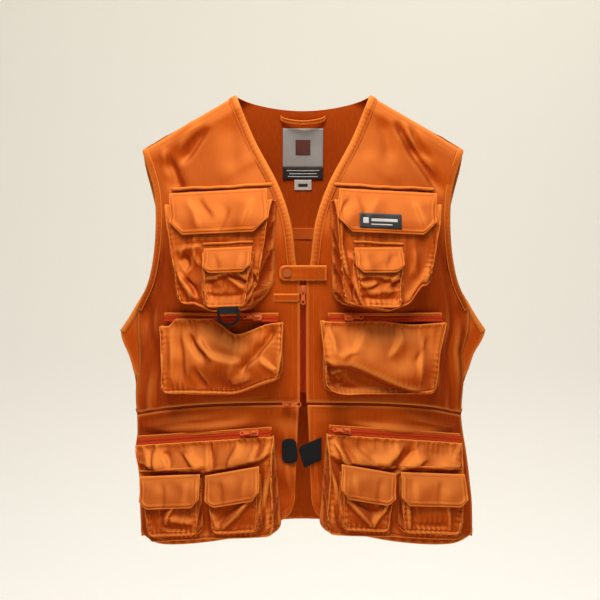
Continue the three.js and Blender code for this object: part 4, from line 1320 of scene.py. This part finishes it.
def chest_group(name, side):
    """The chest pocket and its flap, with the pen pocket on it. Returns the chest flap's cloth."""
    body = f"front_{name}"
    place = Place(side, 36, 190, -154, -159, 150)
    width = place.width

    def face(z):
        return mix(15, 23, -z / 150)

    def lift(x):
        """How far the pouch's bottom rises towards its corners."""
        if side < 0:
            return 24 * np.clip(1 - (x - 6) / 30, 0, 1) + 11 * np.clip((x - 94) / 34, 0, 1)
        low = 10 * np.clip(1 - x / 90, 0, 1) + 10 * np.clip((x - 90) / 36, 0, 1)
        return low + 26 * smooth((x - 122) / 24)

    more = {"bulge": 2.5, "splay": (20, 8) if side < 0 else (6, 10), "lift": lift}
    pouch = Pouch(0, width, (5, 18), 0, -150, 16, face, place.behind, CHEST_FOLDS[side], 3 + side, **more)
    pouch.drape(grow=0.045, cap=4)
    lid = Flap(width - 16, 15, 19, 62, 19, CHEST_FLAP_FOLDS[side], 5 + side, curl=1.4, drift=6)
    origin = (10, -GAP, 17)
    pouch.flatten(-8, width + 8, -42, 8, lid.under(origin))
    pouch.flatten(23, 103, -146, -66, lambda z: -face(z) - 1.5)
    made, cloth = sewn(pouch, place, f"chest_pouch_{name}", body)
    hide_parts(f"chest_pocket_{name}")
    lid_cloth = flap_piece(lid, place, origin, f"chest_lid_{name}", f"chest_flap_{name}")
    ridge_over(place, place.behind, 8, width - 4, 24, f"chest_ridge_{name}", body, 1.15)

    def pen_face(z):
        return face(z) + mix(6, 15, (-z - 72) / 74)

    on_chest = pouch.front_at()
    more = {"bulge": 1.6, "pitch": 2.2, "fall": PEN_FALL[side], "splay": (3, 3)}
    pen = Pouch(25, 101, (3, 3), -72, -146, 10, pen_face, on_chest, PEN_FOLDS[side], 13 + side, **more)
    pen.drape(grow=0.06, cap=4)
    origin = (27, -face(-65) - GAP - 0.8, -65)
    pen_creases = [(14, -10, 20, -32, 5, 0.9), (52, -10, 46, -34, 5, -0.9)]
    pen_lid = Flap(70, 7, 10.5, 36, 10, pen_creases, 15 + side, 2.5 * (side > 0))
    pen.flatten(23, 105, -96, -66, pen_lid.under(origin))
    made, _ = sewn(pen, place, f"pen_pouch_{name}", body)
    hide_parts(f"pen_pocket_{name}")
    flap_piece(pen_lid, place, origin, f"pen_lid_{name}", f"pen_flap_{name}")
    ridge_over(place, on_chest, 27, 101, -58.5, f"pen_ridge_{name}", body, 0.75)
    for u in (4, pouch.wide - 4):
        bartack(cloth, u, pouch.tall - 40, body)
    return lid_cloth


def ridge_over(place, base, x0, x1, z, name, body, size):
    """The rolled seam that stands just above a flap."""
    xs = np.arange(x0, x1, 2.2)
    profile = [(-2.6, 0.1), (-2.3, 1.6), (-1.0, 2.5), (0.6, 2.6), (2.0, 1.9), (2.6, 0.1)]
    sway = 0.5 * np.sin(xs / 17) + 0.3 * np.sin(xs / 6)
    rows = []
    for dz, rise in profile:
        zs = z + (dz + sway) * size
        rows.append(np.stack([xs, base(xs, zs) - rise * size * (1 + 0.12 * np.sin(xs / 3)), zs], 1))
    cloth = Cloth(xs, np.arange(len(rows)), place.world(np.stack(rows)), place.out())
    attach(cloth.make(name, ORANGE, 1.2), body)


def gaping_lip(x):
    """How far the right mid pocket's lip sags, with the dip where it gapes."""
    dip = 17 * np.exp(-(((x - 64) / np.where(x < 64, 32, 19)) ** 2))
    return dip - 4.5 * smooth((x - 88) / 14) + 11 * smooth((x - 150) / 14)


def even_lip(x):
    """How far the left mid pocket's lip sags."""
    return 1.5 * np.sin(x / 16) + 5 * smooth(x / 160) - 2


def mid_group(name, side):
    """The zipped pocket above the waist."""
    body = f"front_{name}"
    place = Place(side, 27, 197, -322, -322, 98)

    def face(z):
        return mix(20, 4.5, np.clip(1 + z / 68, 0, 1) ** 1.6)

    def lift(x):
        """How far the pouch's bottom rises towards its inner corner."""
        return 21 * smooth(1 - x / 75) if side < 0 else 6 * smooth(1 - x / 40)

    more = {"bulge": 3.5, "sag": gaping_lip if side < 0 else even_lip, "lift": lift, "rough": 0.6}
    more["splay"], more["flare"] = ((0, 5), (6, 2)) if side < 0 else ((0, 16), (10, 2))
    more["fall"] = MID_FALL[side]
    pouch = Pouch(0, place.width, (0, 2), 0, -98, 12, face, place.behind, MID_FOLDS[side], 23 + side, **more)
    pouch.drape(grow=0.045, cap=4)
    pouch.flatten(-5, place.width + 5, -7, 10, lambda z: -6.5, 4)
    made, cloth = sewn(pouch, place, f"mid_pouch_{name}", body, ORANGE_POUCH)
    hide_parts(f"mid_pocket_{name}")
    sew(body, cloth, (3, pouch.tall - 3.2), (pouch.wide - 3, pouch.tall - 3.2))
    pocket_zip(place, f"mid_zip_{name}", f"mid_zip_tape_{name}", body, 4, place.width - 4, 10.5, 4)
    for u in (2, pouch.wide - 2):
        bartack(cloth, u, pouch.tall - 4, body)


def cargo_group(name, side):
    """The zipped pocket of the skirt, with two small flapped pockets on it."""
    body = f"front_{name}"
    inner, top = (31, -477) if side > 0 else (39, -480)
    place = Place(side, inner, 231, top, top - 18, 134)

    def face(z):
        return mix(14, 5, np.clip(1 + z / 40, 0, 1) ** 1.8)

    more = {"bulge": 2.0, "rough": 0.6, "fall": CARGO_FALL[side], "splay": (6, 0), "flare": (8, 0)}
    outer = place.width - (6 if side > 0 else 0)
    pouch = Pouch(0, outer, (2, 2), 0, -134, 14, face, place.behind, CARGO_FOLDS[side], 33 + side, **more)
    pouch.drape(grow=0.045, cap=4)
    pouch.flatten(-5, place.width + 5, -7, 10, lambda z: -7.0, 4)
    spots = [("inner", 15, 97, -50, INNER_FOLDS, -6.0), ("outer", 104, outer - 6, -51, OUTER_FOLDS, 1.0)]
    for _, left, right, mouth, _, _ in spots:
        pouch.flatten(left - 2, right + 2, -134, mouth + 10, lambda z: -face(z) - 1.3, 5)
    made, cloth = sewn(pouch, place, f"cargo_pouch_{name}", body, ORANGE_POUCH)
    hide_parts(f"cargo_pocket_{name}")
    sew(body, cloth, (3, pouch.tall - 3.2), (pouch.wide - 3, pouch.tall - 3.2))
    pocket_zip(place, f"cargo_zip_{name}", f"cargo_zip_tape_{name}", body, -2, outer, 11, 4.5)
    on_cargo = pouch.front_at()

    def small_face(z):
        return face(z) + mix(7, 14, (-z - 46) / 80)

    ridge_over(place, on_cargo, 103, outer - 5, -36.5, f"cargo_ridge_{name}", body, 0.6)
    for spot, left, right, mouth, folds, tilt in spots:
        seed = 43 + side + left
        more = {"bulge": 1.8, "pitch": 2.2, "splay": (3, 4)}
        small = Pouch(left, right, (3, 3), mouth, -127, 11, small_face, on_cargo, folds[side], seed, **more)
        small.drape(grow=0.045, cap=2.5)
        creases = [(20, -12, 26, -42, 6, 1.1), (60, -12, 54, -44, 6, -1.1)]
        lid = Flap(right - left, 7, 11.5, 46, 11, creases, seed, tilt)
        origin = (left, -face(mouth + 7) - GAP - 0.8, mouth + 7)
        small.flatten(left - 2, right + 2, mouth - 30, mouth + 9, lid.under(origin))
        made, _ = sewn(small, place, f"cargo_{spot}_pouch_cloth_{name}", body)
        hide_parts(f"cargo_{spot}_pouch_{name}")
        lid_name = f"cargo_{spot}_lid_{name}"
        flap_piece(lid, place, origin, lid_name, f"cargo_{spot}_flap_{name}", ORANGE_POUCH)


# ---- edges, zips and small parts of the body --------------------------------------------------------
def bind_edges(name, side):
    """The bindings of the neckline and the armhole on one front, and of the armhole on the back."""
    neck = binding(f"neck_binding_{name}", FRONT, NECKLINE, -1, side, binding_profile(11), 0.1)
    blend_front(neck)
    thin = binding_profile(8.5, 0.55)
    arm = binding(f"arm_binding_{name}", FRONT, ARMHOLE, 1, side, thin, 0.08)
    blend_front(arm)
    rear = binding(f"arm_binding_back_{name}", BACK, BACK_ARMHOLE, 1, side, thin, 0.08)
    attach(rear, "back")


def body_stitches(name, side):
    """The rows of stitches on one front and on the skirt below it."""
    front, skirt = Surface(fronts[name]), Surface(skirts[name])
    upper, lower = f"blend_{name}", f"front_{name}"
    share = np.linspace(0.01, 0.985, 220)
    xs = np.linspace(8, 232, 200)
    seam_x, seam_z = np.linspace(NECK_HALF + 14, TIP_HALF - 10, 80), np.linspace(-6, -TIP_DROP + 6, 80)
    down_x, down_z = SHOULDER_WAY
    # The row beside the neckline binding takes the dark thread, a painted shadow of the groove there.
    rows = [(front, *NECKLINE.beside(share, 12.5, -1), f"dark_{name}")]
    rows.append((front, *ARMHOLE.beside(share, 9.6), upper))
    rows += [(front, seam_x + down_x * d, seam_z + down_z * d, upper) for d in (7, 13)]
    rows += [(front, np.full(90, x), np.linspace(-266, -428, 90), upper) for x in (7.5, 14.5)]
    rows.append((front, xs, waist_line(xs) + ZIP_SHOWS + 2.6, upper))
    hem_x, hem_z = FRONT_HEM.at(np.linspace(0.02, 0.98, 200))
    rows.append((skirt, hem_x, hem_z + HEM, lower))
    rows.append((skirt, xs, waist_line(xs) - ZIP_SHOWS - 2.6, lower))
    rows += [(skirt, np.full(60, x), np.linspace(-446, -572, 60), lower) for x in (10, 16)]
    for surface, x, z, body in rows:
        lay_stitches(surface, x * side, z, FRONT, body)


def back_stitches():
    """The rows of stitches on the back: both sides of the waist zip, the hem, armholes and shoulders."""
    upper, lower = Surface(back), Surface(skirt_back)
    xs = np.linspace(-232, 232, 400)
    rows = [(upper, xs, waist_line(xs) + ZIP_SHOWS + 2.6)]
    rows += [(lower, xs, waist_line(xs) - ZIP_SHOWS - 2.6), (lower, xs, back_hem(xs) + HEM)]
    arm_x, arm_z = BACK_ARMHOLE.beside(np.linspace(0.04, 0.985, 220), 9.6)
    seam = np.linspace(NECK_HALF + 6, TIP_HALF - 12, 90)
    for side in SIDES.values():
        rows.append((upper, arm_x * side, arm_z))
        rows += [(upper, seam * side, shoulder_line(seam) - d) for d in (6, 12)]
    for surface, x, z in rows:
        lay_stitches(surface, x, z, BACK, "back")


def waist_zip(name, facing, side, reach, body, node):
    """The zip that joins body and skirt: tape and coil along the waist line."""
    xs = np.linspace(*reach, int((reach[1] - reach[0]) / 2))
    e = 0.5
    path = on_body(facing, xs, waist_line(xs), -0.6)
    ahead = on_body(facing, xs + e, waist_line(xs + e), -0.6)
    over = on_body(facing, xs, waist_line(xs), 0.4)
    normals = over - path
    along = ahead - path
    along /= np.linalg.norm(along, axis=1, keepdims=True)
    across = np.cross(along, normals)
    across *= np.sign(across[:, 2:3])
    for values in (path, normals, across):
        values[:, 0] *= side
    tape = tape_strip(f"{name}_tape", path, normals, across, 15)
    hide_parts(node)
    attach(tape, body)
    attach(coil(f"{name}_coil", path + normals * 0.3, normals, across), body)


def front_zip(name, side):
    """One half of the front zip: its tape, and its row of teeth."""
    zs = np.arange(FRONT_ZIP_END, FRONT_ZIP_TOP - 10, 2.0)
    middle = on_body(FRONT, 7.5, zs, -0.5)
    normals = on_body(FRONT, 7.5, zs, 0.5) - middle
    across = np.tile([1.0, 0, 0], (len(zs), 1))
    for values in (middle, normals):
        values[:, 0] *= side
    tape = tape_strip(f"front_zip_{name}_tape", middle, normals, across, 14.4)
    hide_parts(f"front_zip_tape_{name}")
    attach(tape, f"front_{name}")
    edge = middle - across * side * 6.6
    teeth = coil(f"front_zip_{name}_teeth", edge, normals, across, 4.4, 2.2, 1.5, side)
    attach(teeth, f"front_{name}")


def snap_tab():
    """The snap tab over the zip, rounded at its free end and pressed in under the snap."""
    middle_x, middle_z = 30, -254
    free, sewn_end, half = -63, 3, 10.6
    y = float(on_body(FRONT, middle_x, middle_z, CLOTH)[1])
    xs, zs = np.linspace(free, sewn_end, 44), np.linspace(-half, half, 15)
    x, z = np.meshgrid(xs, zs)
    round_end = np.clip((x - free) / 9, 0, 1)
    z = z * (0.45 + 0.55 * np.sqrt(1 - (1 - round_end) ** 2))
    edge = np.minimum(half - np.abs(z), np.minimum(x - free, sewn_end - x))
    wave = 0.35 * np.sin(x / 6.0) + 0.3 * np.sin(x / 15 + z / 5)
    high = 2.0 + 0.5 * smooth(edge / 2) - 0.6 * np.exp(-(((edge - 2.2) / 0.8) ** 2)) + wave * 0.6
    press = np.exp(-(((x + 52) ** 2 + z**2) / 60))
    grid = np.stack([x + middle_x, y - 2.6 - high + 0.9 * press, z + middle_z], -1)
    cloth = Cloth(xs, zs, grid, (0, -1, 0))
    tab = cloth.make("front_tab_cloth", ORANGE, 1.8)
    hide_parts("front_tab")
    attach(tab, "front_tab")
    frame_row = (-60.6, 6), (-60.6, -6), (-56, -8.4), (0.6, -8.4), (0.6, 8.4), (-56, 8.4), (-60.6, 6)
    box_row = (-14, -7), (-1, -7), (-1, 7), (-14, 7), (-14, -7), (-1, 7), (-14, 7), (-1, -7)
    for row in (frame_row, box_row):
        sew("front_tab", cloth, *row)


def rod_loop():
    """The narrow loop below the snap tab, sewn down at both ends."""
    left, right, low, top = -42.5, -5, -294.5, -282.5
    xs, zs = np.linspace(left, right, 26), np.linspace(low, top, 9)
    x, z = np.meshgrid(xs, zs)
    edge = np.minimum(np.minimum(z - low, top - z), np.minimum(x - left, right - x))
    bow = np.sin(math.pi * (x - left) / (right - left)) ** 0.6
    high = 0.9 + 0.6 * smooth(edge / 1.6) + 0.5 * bow
    base = on_body(FRONT, x, z, CLOTH)[..., 1]
    loop = Cloth(xs, zs, np.stack([x, base - high, z], -1), (0, -1, 0))
    made = loop.make("rod_loop_cloth", ORANGE, 1.0)
    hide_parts("rod_loop")
    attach(made, "front_right")
    for v in (top - 1.8, low + 1.8):
        sew("front_right", loop, (-41, v), (-7, v))
    for u in (-40.5, -7):
        bartack(loop, u, (low + top) / 2, "front_right", 9)


def closure_tab(name, side, reach, z0, z1):
    """A black fastening tab beside the front opening. The left one hangs askew."""
    inner, outer = reach
    y = float(on_body(FRONT, inner, (z0 + z1) / 2, CLOTH)[1]) - GAP - 0.8
    us, vs = np.linspace(0, 1, 22), np.linspace(0, 1, 26)
    u, v = np.meshgrid(us, vs)
    slant, droop, round_end = (-6.0, 13.0, 5.0) if side > 0 else (2.0, 0.0, 8.0)
    x = mix(inner, outer, u) + slant * (v - 0.5) * (1 - u)
    half = (z1 - z0 - droop) / 2
    from_end = u if side > 0 else np.minimum(u, 1 - u)
    arc = np.clip(1 - from_end * (outer - inner) / round_end, 0, 1)
    z = (z0 + z1) / 2 + (2 * v - 1) * (half - round_end * (1 - np.sqrt(1 - arc**2)))
    z = z + droop * (u - 0.5)
    edge = np.minimum(np.minimum(u, 1 - u) * (outer - inner), np.minimum(v, 1 - v) * (z1 - z0))
    h = 2.0 + 0.5 * smooth(edge / 2.5) - 0.5 * np.exp(-(((edge - 3) / 0.7) ** 2))
    h += 0.5 * np.sin(z / 9 + x / 7)
    cloth = Cloth(us, vs, np.stack([x * side, y - h, z], -1), (0, -1, 0))
    made = cloth.make(f"closure_{name}_pile", BLACK_PILE, 2.0)
    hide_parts(f"closure_tab_{name}")
    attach(made, f"closure_tab_{name}")


def inside(name, half, top, bottom, h, material, thick=0.7):
    """A label or strip that lies on the inner side of the back."""
    us, vs = np.linspace(-half, half, 24), np.linspace(bottom, top, 28)
    x, z = np.meshgrid(us, vs)
    grid = on_body(BACK, x, z, -h - 0.4 * np.sin(x / 11 + z / 17))
    made = Cloth(us, vs, grid, (0, -1, 0)).make(name, material, thick)
    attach(made, "back")
    return made


def neck_labels():
    """The neck label with a plain mark and bars, the size label, and the back's inner band."""
    big = inside("neck_label_satin", 29.5, -42, -98, 1.6, LABEL_GREY)
    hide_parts("neck_label")
    inside("neck_label_foot", 29.5, -98.4, -115, 1.7, LABEL_BLACK)
    for i, (half, z) in enumerate(((24, -102.5), (20, -107), (22, -111.2))):
        inside(f"neck_label_line_{i}", half, z + 0.6, z - 0.6, 2.2, LABEL_LIGHT, 0.3)
    inside("size_label", 12.5, -116, -131, 1.5, LABEL_WHITE)
    inside("size_label_mark", 7, -121.5, -125.5, 2.0, LABEL_BLACK, 0.3)
    inside("neck_label_mark", 11, -58, -80, 2.1, LABEL_MARK, 0.3)
    inside("inner_band", 150, -186, -203, 0.9, ORANGE_DEEP, 0.9)


def hanger_loop():
    """The loop of self fabric at the back of the neck."""
    us, vs = np.linspace(0, 1, 40), np.linspace(-6.5, 0.5, 7)
    u, v = np.meshgrid(us, vs)
    x, z = mix(-33, 33, u), -24 - 7 * np.sin(math.pi * u) ** 0.5 + v
    grid = on_body(BACK, x, z, -GAP - 1.4 - 9 * np.sin(math.pi * u) - 0.3 * np.sin(v))
    loop = Cloth(us, vs, grid, (0, -1, 0))
    made = loop.make("hanger_loop_cloth", ORANGE, 1.2)
    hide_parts("hanger_loop")
    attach(made, "back")
    for row in (-5, -1):
        sew("back", loop, (0.03, row), (0.97, row), scale=(66, 1))


def badge_part(lid, name, x0, x1, z0, z1, lift, material, thick):
    """A rectangle that lies on the chest flap, in the flap's own x, z."""
    us, vs = np.linspace(x0, x1, 26), np.linspace(z0, z1, 10)
    spots = [(u, (v + 62) / 62 * lid.vs[-1]) for v in vs for u in us]
    points, _ = lid.read(spots, lift)
    made = Cloth(us, vs, points.reshape(10, 26, 3), lid.out).make(name, material, thick)
    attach(made, "chest_flap_left")
    return made


def badge(lid):
    """The badge on the left chest flap: a black label with a plain square and two bars."""
    plate = badge_part(lid, "badge_cloth", 31, 92, -56, -35, 1.3, LABEL_BLACK, 0.9)
    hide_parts("chest_label")
    for i, spot in enumerate(((36, 44, -49.5, -41.5), (48, 86, -46.5, -42.5), (48, 78, -51.5, -50))):
        badge_part(lid, f"badge_mark_{i}", *spot, 1.5, LABEL_LIGHT, 0.3)


# ---- the vest ---------------------------------------------------------------------------------------
make_camera()
make_stage()

fronts, skirts, lids = {}, {}, {}
for name, side in SIDES.items():
    fronts[name] = make_front(name, side)
    skirts[name] = make_skirt_front(name, side)
back = make_back()
skirt_back = make_skirt_back()
for name, side in SIDES.items():
    lids[name] = chest_group(name, side)
    mid_group(name, side)
    cargo_group(name, side)
    bind_edges(name, side)
    body_stitches(name, side)
    waist_zip(f"waist_zip_{name}", FRONT, side, (7, 238), f"front_{name}", f"waist_zip_{name}")
    front_zip(name, side)
waist_zip("waist_zip_rear", BACK, 1, (-238, 238), "back", "waist_zip_back")
back_stitches()
snap_tab()
rod_loop()
closure_tab("right", -1, (8, 29.5), -518, -484)
closure_tab("left", 1, (-3, 25.5), -526, -482)
neck_labels()
hanger_loop()
badge(lids["left"])

for body, rows in threads.items():
    kind, _, front = body.partition("_")
    made = add_object(f"stitches_{body}", rows.points, rows.faces, THREAD_PAINTED_SHADOW if kind == "dark" else THREAD)
    if kind in ("blend", "dark"):
        blend_front(made)
    else:
        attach(made, body)

PAINT = {
    "slider": ENAMEL,
    "pull": ENAMEL,
    "snap": ENAMEL_ORANGE,
    "d_ring": BLACK_PLASTIC,
    "webbing": BLACK_WEB,
}
for node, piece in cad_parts.items():
    for word, material in PAINT.items():
        if word in node:
            piece.data.materials.clear()
            piece.data.materials.append(material)

for piece in pieces:
    settle(piece)
